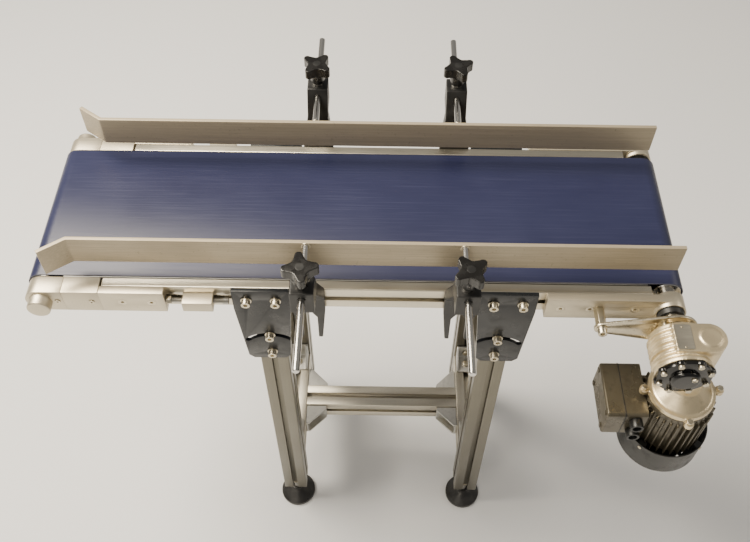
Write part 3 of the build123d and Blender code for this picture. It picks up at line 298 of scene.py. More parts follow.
@dataclass(frozen=True)
class CastMetal:
    """A blasted or painted casting: rounded grain, uneven tone and a little grime."""

    name: str
    colour: Colour
    roughness: float
    metallic: float
    grain: float = 900.0
    depth: float = 0.00012
    grime: float = 0.35

    def build(self) -> bpy.types.Material:
        """Makes the material."""
        graph = Graph(self.name)
        grain = graph.noise(self.grain, 4.0)
        patches = graph.noise(26.0, 3.0).stretched(0.35, 0.7)
        grime = graph.noise(70.0, 5.0).stretched(0.52, 0.7)
        tone = graph.mix(patches, tuple(c * 0.88 for c in self.colour), self.colour)
        worn = tuple(min(1.0, c * 1.25) for c in self.colour)
        tone = graph.mix(grain.stretched(0.3, 0.75) * 0.3, tone, worn)
        tone = graph.mix(grime * self.grime, tone, tuple(c * 0.4 for c in self.colour))
        rough = self.roughness + (patches - 0.5) * 0.12 + grime * 0.15
        return graph.finish(tone, rough, self.metallic, graph.bumped(grain, self.depth, 0.7))


@dataclass(frozen=True)
class MouldedPlastic:
    """Dark moulded plastic with a spark-eroded texture and settled dust."""

    name: str
    colour: Colour
    roughness: float
    texture: float = 1500.0
    depth: float = 0.00006
    dust: float = 0.12

    def build(self) -> bpy.types.Material:
        """Makes the material."""
        graph = Graph(self.name)
        texture = graph.noise(self.texture, 3.0)
        cloud = graph.noise(48.0, 4.0).stretched(0.42, 0.72)
        rubbed = graph.noise(150.0, 2.0, (1.0, 1.0, 0.35)).stretched(0.6, 0.72)
        pale = tuple(c * 0.5 + 0.09 for c in self.colour)
        tone = graph.mix(cloud * self.dust, self.colour, pale)
        tone = graph.mix(rubbed * 0.25, tone, tuple(c * 1.9 for c in self.colour))
        rough = self.roughness + (cloud - 0.5) * 0.14 - rubbed * 0.1
        return graph.finish(tone, rough, 0.0, graph.bumped(texture, self.depth, 0.8))


@dataclass(frozen=True)
class BeltCover:
    """The belt's smooth plastic cover, with travel marks along it and the pale ply at its cut edges."""

    name: str
    colour: Colour
    ply: Colour
    half_width: float
    roughness: float = 0.36

    def build(self) -> bpy.types.Material:
        """Makes the material."""
        graph = Graph(self.name)
        weave = graph.node("ShaderNodeTexVoronoi", values={"Vector": graph.place, "Scale": 1400.0})
        travel = graph.noise(420.0, 3.0, (0.02, 1.0, 1.0)).stretched(0.5, 0.72)
        cloud = graph.noise(7.0, 3.0).stretched(0.3, 0.7)
        tone = graph.mix(cloud, tuple(c * 0.86 for c in self.colour), self.colour)
        tone = graph.mix(travel * 0.22, tone, tuple(min(1.0, c * 1.5 + 0.01) for c in self.colour))
        cut = graph.axis(1).size().over(self.half_width - 0.25 * MM)
        fibres = graph.noise(2200.0, 2.0).stretched(0.35, 0.65)
        edge = graph.mix(fibres, tuple(c * 0.6 for c in self.ply), self.ply)
        tone = graph.mix(cut * 0.75, tone, edge)
        rough = self.roughness + travel * 0.1 + (cloud - 0.5) * 0.08 + cut * 0.3
        return graph.finish(tone, rough, 0.0, graph.bumped(weave, 0.00005, 0.35), Specular_IOR_Level=0.42)


@dataclass(frozen=True)
class ThreadedSteel:
    """Plated steel with a screw thread along one axis, its roots darkened with painted shade."""

    name: str
    colour: Colour
    axis: int
    pitch: float
    roughness: float = 0.32

    def build(self) -> bpy.types.Material:
        """Makes the material."""
        graph = Graph(self.name)
        turns = graph.math("FRACT", graph.axis(self.axis) / self.pitch)
        ridge = 1.0 - (turns - 0.5).size() * 2.0
        cloud = graph.noise(90.0, 3.0).stretched(0.4, 0.7)
        # Painted shade: the thread's roots are darkened to under half the plated colour.
        tone = graph.mix(ridge, tuple(c * 0.45 for c in self.colour), self.colour)
        tone = graph.mix(cloud * 0.3, tone, tuple(c * 0.6 for c in self.colour))
        rough = self.roughness + cloud * 0.15
        return graph.finish(tone, rough, 1.0, graph.bumped(ridge, self.pitch * 0.4, 0.8))


@dataclass(frozen=True)
class PaleFloor:
    """A plain pale studio floor."""

    name: str
    colour: Colour

    def build(self) -> bpy.types.Material:
        """Makes the material."""
        graph = Graph(self.name)
        cloud = graph.noise(3.0, 3.0)
        tone = graph.mix(cloud, tuple(c * 0.985 for c in self.colour), self.colour)
        return graph.finish(tone, 0.8, 0.0, graph.bumped(cloud, 0.0001, 0.2))


Finish = Union[BrushedMetal, CastMetal, MouldedPlastic, BeltCover, ThreadedSteel, PaleFloor]

FRAME_FACE = BrushedMetal("side_member_anodised", (0.74, 0.68, 0.55), 0.30, Grain.ALONG_X, contrast=0.16)
# Painted shade: the uprights' anodised aluminium gets a far darker colour than the side members' to stand in for
# shade on their front faces.
LEG_FACE_PAINTED_SHADE = BrushedMetal("upright_anodised_painted_shade", (0.22, 0.205, 0.165), 0.34, Grain.ALONG_Z, contrast=0.2)
BAR_FACE = BrushedMetal("cross_bar_anodised", (0.72, 0.67, 0.56), 0.36, Grain.EVEN, contrast=0.1)
MACHINED = BrushedMetal("machined_alloy", (0.68, 0.61, 0.47), 0.38, Grain.ALONG_X, 1900.0, 0.1, marks=0.6,
                        metallic=0.85)
RAIL_STEEL = BrushedMetal("brushed_guide_steel", (0.60, 0.51, 0.36), 0.46, Grain.ALONG_X, 3400.0, 0.36,
                          0.000016, marks=0.9, metallic=0.38)
BED_SHEET = BrushedMetal("rolled_bed_sheet", (0.50, 0.49, 0.47), 0.42, Grain.ALONG_X, marks=0.8)
GROUND_STEEL = BrushedMetal("ground_steel", (0.70, 0.68, 0.64), 0.18, Grain.ALONG_Y, 3000.0, 0.14, marks=0.3)
PLATED = BrushedMetal("plated_steel", (0.72, 0.65, 0.50), 0.26, Grain.EVEN, 1500.0, 0.2, marks=1.0)
BRONZE = BrushedMetal("turned_bronze", (0.62, 0.40, 0.18), 0.32, Grain.EVEN, 1200.0, 0.15)
DIE_CAST = CastMetal("die_cast_alloy", (0.68, 0.67, 0.63), 0.44, 0.85, 1100.0, 0.00006, 0.25)
GEAR_CAST = CastMetal("gearbox_casting", (0.82, 0.69, 0.46), 0.38, 0.9, 800.0, 0.00012, 0.45)
MOTOR_PAINT = CastMetal("motor_enamel", (0.110, 0.095, 0.065), 0.30, 0.45, 650.0, 0.00009, 0.5)
COWL_PAINT = CastMetal("cowl_enamel", (0.030, 0.030, 0.029), 0.32, 0.4, 420.0, 0.00005, 0.4)
BLACK_PLATE = CastMetal("black_coated_plate", (0.013, 0.015, 0.018), 0.30, 0.0, 1500.0, 0.00005, 0.2)
BLACK_NYLON = MouldedPlastic("black_nylon", (0.007, 0.007, 0.007), 0.44)
KNOB_PLASTIC = MouldedPlastic("knob_phenolic", (0.006, 0.0055, 0.005), 0.30, 1900.0, 0.00003, 0.06)
FOOT_PLASTIC = MouldedPlastic("foot_nylon", (0.016, 0.015, 0.014), 0.42, 900.0, 0.0001, 0.3)
SEAL_RUBBER = MouldedPlastic("seal_rubber", (0.010, 0.010, 0.010), 0.5, 1200.0, 0.00005, 0.15)
COVER_BLACK = MouldedPlastic("gear_cover_coating", (0.003, 0.003, 0.003), 0.20, 1100.0, 0.00003, 0.06)
BELT_BLUE = BeltCover("blue_belt_cover", (0.022, 0.025, 0.066), (0.20, 0.20, 0.25), 125 * MM)
SPINDLE_THREAD = ThreadedSteel("spindle_thread", (0.55, 0.53, 0.49), 2, 1.75 * MM)
TENSION_THREAD = ThreadedSteel("tension_thread", (0.62, 0.60, 0.55), 0, 1.25 * MM)
FLOOR = PaleFloor("pale_floor", (0.92, 0.92, 0.92))


class Paintbox:
    """Makes each finish once and hands it out."""

    def __init__(self) -> None:
        """Starts with nothing made."""
        self._made: dict[str, bpy.types.Material] = {}

    def get(self, finish: Finish) -> bpy.types.Material:
        """The material of a finish, made on first use."""
        if finish.name not in self._made:
            self._made[finish.name] = finish.build()
        return self._made[finish.name]


PAINT = Paintbox()


# ---------------------------------------------------------------------------------------------------
# Modelling by hand
# ---------------------------------------------------------------------------------------------------
HEXAGON = 6
RIVET_SIDES = 16
ROUND = 20
CAP_SIDES = 40
BEAD_SEGMENTS = (72, 12)
SMOOTH_BELOW = math.radians(38)
BEVEL_ABOVE = math.radians(40)
FLAT_WITHIN = math.radians(0.4)
WELD_WITHIN = 0.002 * MM
FACES_UP = 0.9


def pick_only(piece: bpy.types.Object) -> None:
    """Selects one object and makes it the active one."""
    bpy.ops.object.select_all(action="DESELECT")
    piece.select_set(True)
    bpy.context.view_layer.objects.active = piece


def apply_modifier(piece: bpy.types.Object, kind: str, **settings: Any) -> None:
    """Adds a modifier and applies it.

    Args:
        piece: The object.
        kind: The modifier's type.
        **settings: Its properties.
    """
    pick_only(piece)
    modifier = piece.modifiers.new(kind.lower(), kind)
    for key, value in settings.items():
        setattr(modifier, key, value)
    bpy.ops.object.modifier_apply(modifier=modifier.name)


def choose_faces(piece: bpy.types.Object, wanted: Callable[[Vector, Vector], bool]) -> None:
    """In edit mode afterwards, with only the wanted faces selected.

    Args:
        piece: The object, in object mode.
        wanted: Takes a face's centre and normal and says whether it is wanted.
    """
    pick_only(piece)
    bpy.ops.object.mode_set(mode="EDIT")
    bpy.ops.mesh.select_mode(type="FACE")
    bpy.ops.mesh.select_all(action="DESELECT")
    bpy.ops.object.mode_set(mode="OBJECT")
    for face in piece.data.polygons:
        face.select = wanted(face.center, face.normal)
    bpy.ops.object.mode_set(mode="EDIT")


def settle(piece: bpy.types.Object, turn: Matrix, place: Sequence[float]) -> None:
    """Turns and moves a piece made at the origin, with its place in its mesh.

    Args:
        piece: The object.
        turn: Its rotation.
        place: Where its origin goes.
    """
    piece.data.transform(Matrix.Translation(Vector(place)) @ turn.to_4x4())
    piece.data.update()


def dressed(piece: bpy.types.Object, name: str, finish: Finish, body: str) -> bpy.types.Object:
    """Names a finished piece, gives it its finish, and lets it ride.

    Args:
        piece: The object.
        name: Its name.
        finish: Its finish.
        body: The body it rides on.

    Returns:
        The same object.
    """
    piece.name = name
    piece.data.name = name
    piece.data.materials.clear()
    piece.data.materials.append(PAINT.get(finish))
    pick_only(piece)
    bpy.ops.object.shade_smooth_by_angle(angle=SMOOTH_BELOW)
    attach(piece, body)
    LOG.info("made %s on %s", name, body)
    return piece


TURNS: dict[str, Matrix] = {
    "+Z": Matrix.Identity(3),
    "+Y": Matrix.Rotation(-math.pi / 2, 3, "X"),
    "-Y": Matrix.Rotation(math.pi / 2, 3, "X"),
    "+X": Matrix.Rotation(math.pi / 2, 3, "Y"),
}


def bolt_head(radius: float, height: float, sides: int, recess: float) -> bpy.types.Object:
    """A bolt's head standing on the origin, with a bevelled rim and a recess in its top.

    Args:
        radius: The head's radius over its corners.
        height: Its height.
        sides: Six for a hexagon head, more for a round one.
        recess: The recess's depth; zero leaves a raised ring instead.

    Returns:
        The new object.
    """
    bpy.ops.object.select_all(action="DESELECT")
    bpy.ops.mesh.primitive_cylinder_add(vertices=sides, radius=radius, depth=height, location=(0, 0, 0))
    head = bpy.context.active_object
    head.data.transform(Matrix.Translation((0, 0, height / 2)))
    choose_faces(head, lambda centre, normal: normal.z > FACES_UP)
    bpy.ops.mesh.inset(thickness=radius * 0.12)
    bpy.ops.transform.translate(value=(0, 0, height * 0.1))
    bpy.ops.mesh.inset(thickness=radius * 0.28)
    bpy.ops.transform.translate(value=(0, 0, -recess if recess else -height * 0.06))
    bpy.ops.object.mode_set(mode="OBJECT")
    apply_modifier(head, "BEVEL", width=radius * 0.05, segments=2, limit_method="ANGLE")
    return head


def raised_plate(width: float, height: float, thick: float, corner: float) -> bpy.types.Object:
    """A flat plate standing on the origin with rounded corners and a stepped rim.

    Args:
        width: Along X.
        height: Along Y.
        thick: Along Z.
        corner: The corners' radius.

    Returns:
        The new object.
    """
    bpy.ops.object.select_all(action="DESELECT")
    bpy.ops.mesh.primitive_cube_add(size=1.0, location=(0, 0, 0), scale=(width, height, thick))
    plate = bpy.context.active_object
    bpy.ops.object.transform_apply(location=True, rotation=True, scale=True)
    plate.data.transform(Matrix.Translation((0, 0, thick / 2)))
    pick_only(plate)
    bpy.ops.object.mode_set(mode="EDIT")
    bpy.ops.mesh.select_mode(type="EDGE")
    bpy.ops.mesh.select_all(action="DESELECT")
    bpy.ops.object.mode_set(mode="OBJECT")
    for edge in plate.data.edges:
        a, b = (plate.data.vertices[i].co for i in edge.vertices)
        edge.select = abs(a.z - b.z) > thick / 2
    bpy.ops.object.mode_set(mode="EDIT")
    bpy.ops.mesh.bevel(offset=corner, segments=5)
    bpy.ops.object.mode_set(mode="OBJECT")
    choose_faces(plate, lambda centre, normal: normal.z > FACES_UP)
    bpy.ops.mesh.inset(thickness=corner * 0.5)
    bpy.ops.transform.translate(value=(0, 0, -thick * 0.3))
    bpy.ops.object.mode_set(mode="OBJECT")
    apply_modifier(plate, "BEVEL", width=thick * 0.12, segments=2, limit_method="ANGLE")
    return plate


def bead(radius: float, thick: float) -> bpy.types.Object:
    """An uneven round bead lying about the origin, such as a weld's.

    Args:
        radius: From the centre to the middle of the bead.
        thick: The bead's own radius.

    Returns:
        The new object.
    """
    bpy.ops.object.select_all(action="DESELECT")
    bpy.ops.mesh.primitive_torus_add(major_radius=radius, minor_radius=thick,
                                     major_segments=BEAD_SEGMENTS[0], minor_segments=BEAD_SEGMENTS[1])
    ring = bpy.context.active_object
    for vertex in ring.data.vertices:
        angle = math.atan2(vertex.co.y, vertex.co.x)
        vertex.co.z *= 0.8 + 0.12 * math.sin(angle * 24)
    return ring


# ---------------------------------------------------------------------------------------------------
# Carried nodes
# ---------------------------------------------------------------------------------------------------
class Edges(Enum):
    """What is done to the edges of a node that is carried over."""

    AS_MADE = "as made"
    BROKEN = "broken"
    ROUNDED = "rounded"


@dataclass(frozen=True)
class Carried:
    """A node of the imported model, its finish and the work on its edges.

    Args:
        node: The node's name.
        finish: Its finish.
        edges: The work on its edges.
        size: The width of a broken edge, or the grain that a casting is rounded to.
        passes: How often a rounded casting is smoothed.
    """

    node: str
    finish: Finish
    edges: Edges = Edges.AS_MADE
    size: float = 0.4 * MM
    passes: int = 3

    def dress(self) -> bpy.types.Object:
        """Gives the node its finish, on a copy with worked edges where it has them.

        Returns:
            The object that shows.
        """
        source = frame["nodes"][self.node]
        if self.edges is Edges.AS_MADE:
            for held in source.material_slots:
                held.material = PAINT.get(self.finish)
            LOG.info("dressed %s", self.node)
            return source
        piece = self._merged_copy(source)
        if self.edges is Edges.BROKEN:
            pick_only(piece)
            bpy.ops.object.mode_set(mode="EDIT")
            bpy.ops.mesh.select_all(action="SELECT")
            bpy.ops.mesh.dissolve_limited(angle_limit=FLAT_WITHIN)
            bpy.ops.object.mode_set(mode="OBJECT")
            apply_modifier(piece, "BEVEL", width=self.size, segments=2, limit_method="ANGLE",
                           angle_limit=BEVEL_ABOVE, use_clamp_overlap=True)
        else:
            apply_modifier(piece, "REMESH", mode="VOXEL", voxel_size=self.size)
            apply_modifier(piece, "SMOOTH", factor=0.5, iterations=self.passes)
        body = next(name for name, nodes in node_groups().items() if self.node in nodes)
        dressed(piece, self.node + "_worked", self.finish, body)
        if self.edges is Edges.ROUNDED:
            pick_only(piece)
            bpy.ops.object.shade_smooth()
        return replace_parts(piece, self.node)

    def _merged_copy(self, source: bpy.types.Object) -> bpy.types.Object:
        """A copy of a node with its loose triangles joined."""
        piece = bpy.data.objects.new(self.node + "_worked", source.data.copy())
        bpy.context.scene.collection.objects.link(piece)
        pick_only(piece)
        bpy.ops.object.mode_set(mode="EDIT")
        bpy.ops.mesh.select_all(action="SELECT")
        bpy.ops.mesh.remove_doubles(threshold=WELD_WITHIN)
        bpy.ops.object.mode_set(mode="OBJECT")
        if piece.data.has_custom_normals:
            bpy.ops.mesh.customdata_custom_splitnormals_clear()
        return piece


def node_groups() -> dict[str, list[str]]:
    """Each body's nodes, by the body's name."""
    return frame["record"]["behaviour"]["bodies"]


def centre_of(node: str) -> Vector:
    """The middle of a node's box."""
    low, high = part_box(node)
    return (low + high) / 2


CORNERS = ("front_left", "front_right", "back_left", "back_right")


# ---------------------------------------------------------------------------------------------------
# Sub-assemblies
# ---------------------------------------------------------------------------------------------------
@dataclass
class BeltAndBed:
    """The side members, the bed and the belt."""

    carried: tuple[Carried, ...] = (
        Carried("side_frame_front", FRAME_FACE, Edges.BROKEN, 0.3 * MM),
        Carried("side_frame_back", FRAME_FACE, Edges.BROKEN, 0.3 * MM),
        Carried("slider_bed", BED_SHEET),
        Carried("bed_cross_members", MACHINED),
        Carried("conveyor_belt", BELT_BLUE, Edges.BROKEN, 0.35 * MM),
    )

    def build(self) -> None:
        """Dresses the nodes."""
        for part in self.carried:
            part.dress()


@dataclass
class Stands:
    """The legs, their bars, plates, castings and feet."""

    carried: tuple[Carried, ...] = (
        Carried("legs_left", LEG_FACE_PAINTED_SHADE, Edges.BROKEN, 0.3 * MM),
        Carried("legs_right", LEG_FACE_PAINTED_SHADE, Edges.BROKEN, 0.3 * MM),
        Carried("stand_bars", BAR_FACE, Edges.BROKEN, 0.3 * MM),
        Carried("leg_plates", BLACK_PLATE, Edges.BROKEN, 0.6 * MM),
        Carried("slot_screws", PLATED, Edges.BROKEN, 0.35 * MM),
        Carried("corner_gussets", DIE_CAST, Edges.ROUNDED, 0.95 * MM, 3),
        Carried("gusset_screws", PLATED, Edges.BROKEN, 0.4 * MM),
        Carried("foot_lock_nuts", PLATED, Edges.BROKEN, 0.4 * MM),
    )

    def build(self) -> None:
        """Dresses the nodes, and each foot."""
        for part in self.carried:
            part.dress()
        for corner in CORNERS:
            Carried("foot_pad_" + corner, FOOT_PLASTIC, Edges.ROUNDED, 0.9 * MM, 4).dress()
            Carried("foot_spindle_" + corner, SPINDLE_THREAD).dress()


@dataclass
class TailEnd:
    """The rounded nose pieces, the take-up and the idler."""

    carried: tuple[Carried, ...] = (
        Carried("tail_nose_caps", MACHINED, Edges.BROKEN, 0.5 * MM),
        Carried("tail_bearing_blocks", MACHINED, Edges.BROKEN, 0.35 * MM),
        Carried("tail_slide_blocks", MACHINED, Edges.BROKEN, 0.35 * MM),
        Carried("tail_screws", PLATED, Edges.BROKEN, 0.2 * MM),
        Carried("tail_axle", GROUND_STEEL),
        Carried("tail_roller", GROUND_STEEL),
        Carried("tail_bearings", GROUND_STEEL),
        Carried("tension_jam_nuts", PLATED, Edges.BROKEN, 0.3 * MM),
        Carried("tension_reaction_blocks", MACHINED, Edges.BROKEN, 0.4 * MM),
        Carried("tension_screw_front", TENSION_THREAD),
        Carried("tension_screw_back", TENSION_THREAD),
    )

    def build(self) -> None:
        """Dresses the nodes."""
        for part in self.carried:
            part.dress()


@dataclass
class DriveEnd:
    """The drive plates, bearings, roller and shaft."""

    carried: tuple[Carried, ...] = (
        Carried("drive_plates", MACHINED, Edges.BROKEN, 0.45 * MM),
        Carried("drive_plate_screws", PLATED, Edges.BROKEN, 0.2 * MM),
        Carried("drive_bearings", SEAL_RUBBER, Edges.BROKEN, 0.4 * MM),
        Carried("drive_roller", GROUND_STEEL),
        Carried("drive_shaft", GROUND_STEEL),
        Carried("torque_arm", PLATED, Edges.BROKEN, 0.4 * MM),
        Carried("torque_arm_fixings", PLATED, Edges.BROKEN, 0.3 * MM),
    )

    def build(self) -> None:
        """Dresses the nodes."""
        for part in self.carried:
            part.dress()


@dataclass
class Gearmotor:
    """The worm gearbox, its motor and the terminal box."""

    flange_bolt_radius: float = 5.2 * MM
    flange_bolt_height: float = 4 * MM
    flange_bolt_circle: float = 56 * MM
    lug_height: float = 10 * MM
    cowl_screw_radius: float = 3.0 * MM
    cowl_screw_height: float = 1.4 * MM
    cowl_screw_recess: float = 0.8 * MM
    cowl_screw_drop: float = 6 * MM
    plate_size: tuple[float, float, float] = (24 * MM, 40 * MM, 1.2 * MM)
    plate_from_drive: float = -4 * MM
    cap_height: float = 2 * MM
    plate_corner: float = 3 * MM
    plate_sink: float = 0.3 * MM
    rivet_radius: float = 1.6 * MM
    rivet_height: float = 0.8 * MM
    rivet_lift: float = 0.4 * MM
    rivet_share: float = 0.4
    plug_radius: float = 4.2 * MM
    plug_height: float = 3 * MM
    plug_recess: float = 1.2 * MM
    plug_sink: float = 0.6 * MM
    plug_place: tuple[float, float] = (9.5 * MM, 9 * MM)
    gasket: float = 0.9 * MM
    gasket_thickness: float = 1.6 * MM
    gasket_corner: float = 6 * MM
    carried: tuple[Carried, ...] = (
        Carried("gearbox_housing", GEAR_CAST, Edges.ROUNDED, 1.25 * MM, 4),
        Carried("gearbox_cover", COVER_BLACK, Edges.BROKEN, 0.6 * MM),
        Carried("gearbox_cover_bolts", PLATED, Edges.BROKEN, 0.4 * MM),
        Carried("worm_wheel", BRONZE),
        Carried("worm_shaft", GROUND_STEEL),
        Carried("motor_housing", MOTOR_PAINT, Edges.ROUNDED, 1.15 * MM, 1),
        Carried("motor_fan_cowl", COWL_PAINT),
        Carried("motor_fan", BLACK_NYLON),
        Carried("terminal_box", MOTOR_PAINT),
        Carried("terminal_box_lid", MOTOR_PAINT),
        Carried("cable_glands", BLACK_NYLON, Edges.BROKEN, 0.5 * MM),
    )

    def build(self) -> None:
        """Dresses the nodes and adds the small hardware."""
        for part in self.carried:
            part.dress()
        self.axis = Vector(frame_joint("motor_spin"))
        self._flange_bolts()
        self._cowl_screws()
        self._blank_plate()
        self._box_gasket()
        self._oil_plug()

    def _about_axis(self, radius: float, degrees: float, z: float) -> Triple:
        """A place on a circle about the motor's axis.

        Args:
            radius: The circle's radius.
            degrees: How far round it, from +X.
            z: The place's height.

        Returns:
            The place.
        """
        angle = math.radians(degrees)
        return (self.axis.x + radius * math.cos(angle), self.axis.y + radius * math.sin(angle), z)

    def _flange_bolts(self) -> None:
        """Four hexagon bolts on the motor flange's lugs."""
        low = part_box("gearbox_housing")[0].z
        for index in range(4):
            head = bolt_head(self.flange_bolt_radius, self.flange_bolt_height, HEXAGON, 0)
            place = self._about_axis(self.flange_bolt_circle, 90 * index, low + self.lug_height)
            settle(head, TURNS["+Z"], place)
            dressed(head, f"flange_bolt_{index}", PLATED, "frame")

    def _cowl_screws(self) -> None:
        """Four small screws round the cowl's rim."""
        lowest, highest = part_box("motor_fan_cowl")
        high = highest.z - self.cowl_screw_drop
        radius = (highest.x - lowest.x) / 2
        for index in range(4):
            degrees = 45 + 90 * index
            head = bolt_head(self.cowl_screw_radius, self.cowl_screw_height, ROUND, self.cowl_screw_recess)
            turn = Matrix.Rotation(math.radians(degrees), 3, "Z") @ TURNS["+X"]
            settle(head, turn, self._about_axis(radius, degrees, high))
            dressed(head, f"cowl_screw_{index}", PLATED, "frame")

    def _blank_plate(self) -> None:
        """A blank plate with two rivets on top of the wheel chamber."""
        drive = Vector(frame_joint("drive_spin"))
        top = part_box("gearbox_housing")[1].z - self.cap_height
        width, height, thick = self.plate_size
        plate_x = drive.x + self.plate_from_drive
        plate = raised_plate(width, height, thick, self.plate_corner)
        settle(plate, TURNS["+Z"], (plate_x, self.axis.y, top - self.plate_sink))
        dressed(plate, "gearbox_blank_plate", FRAME_FACE, "frame")
        for index, step in enumerate((-1, 1)):
            rivet = bolt_head(self.rivet_radius, self.rivet_height, RIVET_SIDES, 0)
            rivet_y = self.axis.y + step * height * self.rivet_share
            settle(rivet, TURNS["+Z"], (plate_x, rivet_y, top + self.rivet_lift))
            dressed(rivet, f"blank_plate_rivet_{index}", PLATED, "frame")

    def _oil_plug(self) -> None:
        """The oil plug in the black output cover."""
        drive = Vector(frame_joint("drive_spin"))
        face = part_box("gearbox_cover")[0].y + self.plug_sink
        across, above = self.plug_place
        plug = bolt_head(self.plug_radius, self.plug_height, HEXAGON, self.plug_recess)
        settle(plug, TURNS["-Y"], (drive.x + across, face, drive.z + above))
        dressed(plug, "oil_plug", PLATED, "frame")

    def _box_gasket(self) -> None:
        """The rubber gasket that shows as a dark line round the terminal box's lid."""
        low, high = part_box("terminal_box_lid")
        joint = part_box("terminal_box")[0].x
        span_y, span_z = high.y - low.y + self.gasket, high.z - low.z + self.gasket
        ring = raised_plate(span_z, span_y, self.gasket_thickness, self.gasket_corner)
        middle = centre_of("terminal_box_lid")
        settle(ring, TURNS["+X"], (joint - self.gasket_thickness / 2, middle.y, middle.z))
        dressed(ring, "terminal_box_gasket", SEAL_RUBBER, "frame")


@dataclass
class SideGuides:
    """The guide rails, their rods, brackets and clamp knobs."""

    cap_radius: float = 6.2 * MM
    cap_height: float = 0.5 * MM
    weld_radius: float = 5.4 * MM
    weld_thickness: float = 1.3 * MM
    weld_reach: float = 0.6 * MM
    rod_radius: float = 5 * MM
    carried: tuple[Carried, ...] = (
        Carried("guide_rail_front", RAIL_STEEL, Edges.BROKEN, 0.3 * MM),
        Carried("guide_rail_back", RAIL_STEEL, Edges.BROKEN, 0.3 * MM),
        Carried("guide_rods_front", GROUND_STEEL),
        Carried("guide_rods_back", GROUND_STEEL),
        Carried("guide_brackets", BLACK_NYLON, Edges.ROUNDED, 1.35 * MM, 2),
        Carried("clamp_collars", GROUND_STEEL),
    )

    def build(self) -> None:
        """Dresses the nodes, and each knob and rod end."""
        for part in self.carried:
            part.dress()
        for corner in CORNERS:
            node = "clamp_knob_" + corner
            Carried(node, KNOB_PLASTIC, Edges.ROUNDED, 0.7 * MM, 7).dress()
            self._knob_cap(corner, node)
            self._weld(corner)

    def _knob_cap(self, corner: str, node: str) -> None:
        """A pressed cap in the top of one knob."""
        middle, top = centre_of(node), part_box(node)[1].z
        cap = bolt_head(self.cap_radius, self.cap_height, CAP_SIDES, 0)
        settle(cap, TURNS["+Z"], (middle.x, middle.y, top - self.cap_height))
        dressed(cap, "knob_cap_" + corner, BLACK_NYLON, "knob_" + corner)

    def _weld(self, corner: str) -> None:
        """The bead that joins one rod to its rail."""
        side, end = corner.split("_")
        sign = -1 if side == "front" else 1
        low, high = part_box("guide_rods_" + side)
        x = low.x + self.rod_radius if end == "left" else high.x - self.rod_radius
        y = high.y if side == "front" else low.y
        ring = bead(self.weld_radius, self.weld_thickness)
        place = (x, y + sign * self.weld_reach, (low.z + high.z) / 2)
        settle(ring, TURNS["-Y" if sign < 0 else "+Y"], place)
        dressed(ring, "rod_weld_" + corner, PLATED, side + "_guide")


def frame_joint(name: str) -> Sequence[float]:
    """A point on a joint's axis."""
    return next(joint["pos_m"] for joint in frame["joints"] if joint["name"] == name)


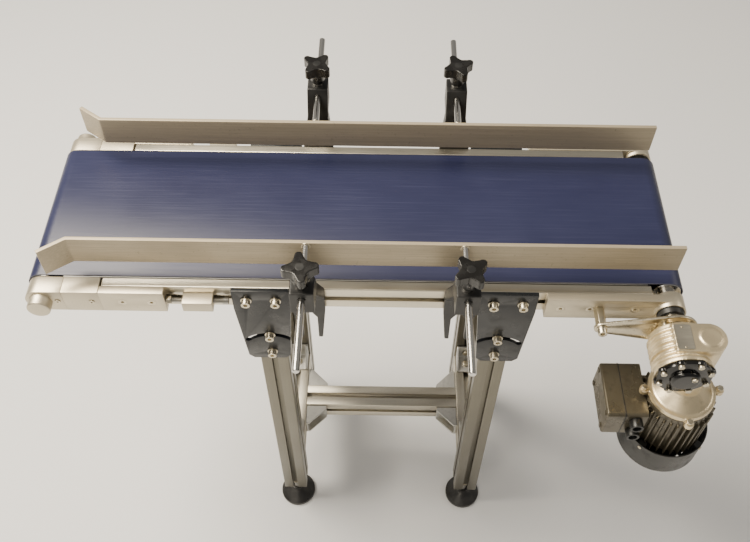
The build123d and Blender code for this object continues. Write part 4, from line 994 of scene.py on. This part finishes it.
# ---------------------------------------------------------------------------------------------------
# Studio
# ---------------------------------------------------------------------------------------------------
@dataclass
class Studio:
    """The floor, the lights and the camera."""

    camera_place: Triple = (-0.00066, -0.8792, 1.8425)
    camera_down: float = 52.12
    camera_turn: float = -0.44
    camera_roll: float = 0.52
    lens: float = 42.82
    shift: tuple[float, float] = (-0.0021, -0.0366)
    sensor: float = 36.0
    floor_half: float = 9.0
    world_strength: float = 0.28
    warm: Colour = (1.0, 0.91, 0.76)
    lights: tuple[tuple[str, Triple, Triple, float, float], ...] = field(default=(
        ("key_bank", (-1.45, 0.35, 2.9), (-0.15, 0.0, 0.6), 1.6, 190.0),
        ("front_bank", (-1.0, -2.3, 2.7), (0.0, 0.0, 0.5), 1.3, 20.0),
        ("side_bank", (2.5, 0.2, 2.2), (0.2, 0.0, 0.6), 0.9, 12.0),
    ))

    def build(self) -> None:
        """Makes the studio."""
        self._floor()
        self._world()
        for name, place, aim, size, power in self.lights:
            self._bank(name, Vector(place), Vector(aim), size, power)
        self._camera()

    def _floor(self) -> None:
        """A flat square floor."""
        bpy.ops.object.select_all(action="DESELECT")
        bpy.ops.mesh.primitive_grid_add(x_subdivisions=4, y_subdivisions=4, size=2 * self.floor_half)
        floor = bpy.context.active_object
        floor.name = "studio_floor"
        floor.data.materials.append(PAINT.get(FLOOR))

    def _world(self) -> None:
        """An even pale surround."""
        world = bpy.data.worlds.new("studio_air")
        world.use_nodes = True
        air = world.node_tree.nodes["Background"]
        air.inputs["Color"].default_value = (1.0, 0.97, 0.92, 1.0)
        air.inputs["Strength"].default_value = self.world_strength
        bpy.context.scene.world = world

    def _bank(self, name: str, place: Vector, aim: Vector, size: float, power: float) -> None:
        """One soft light.

        Args:
            name: Its name.
            place: Where it stands.
            aim: What it points at.
            size: The length of its side.
            power: Its power, in watts.
        """
        data = bpy.data.lights.new(name, "AREA")
        data.size, data.energy, data.color = size, power, self.warm
        lamp = bpy.data.objects.new(name, data)
        lamp.location = place
        lamp.rotation_euler = (aim - place).to_track_quat("-Z", "Y").to_euler()
        bpy.context.scene.collection.objects.link(lamp)

    def _camera(self) -> None:
        """The camera, at the catalogue view's angle."""
        down, turn, roll = (math.radians(a) for a in (self.camera_down, self.camera_turn, self.camera_roll))
        ahead = Vector((math.sin(turn) * math.cos(down), math.cos(turn) * math.cos(down), -math.sin(down)))
        level = Vector((math.cos(turn), -math.sin(turn), 0.0))
        upright = level.cross(ahead)
        right = level * math.cos(roll) + upright * math.sin(roll)
        up = upright * math.cos(roll) - level * math.sin(roll)
        data = bpy.data.cameras.new("view")
        data.lens, data.sensor_width = self.lens, self.sensor
        data.shift_x, data.shift_y = self.shift
        data.clip_end = 60.0
        camera = bpy.data.objects.new("view", data)
        rows = Matrix((right, up, -ahead)).transposed()
        camera.matrix_world = Matrix.Translation(Vector(self.camera_place)) @ rows.to_4x4()
        bpy.context.scene.collection.objects.link(camera)
        bpy.context.scene.camera = camera


def main() -> None:
    """Builds each sub-assembly in order, then the studio."""
    logging.basicConfig(level=logging.INFO)
    assemblies: Iterable[Any] = (Studio(), BeltAndBed(), Stands(), TailEnd(), DriveEnd(), Gearmotor(),
                                 SideGuides())
    for assembly in assemblies:
        LOG.info("building %s", type(assembly).__name__)
        assembly.build()


if __name__ == "__main__":
    main()
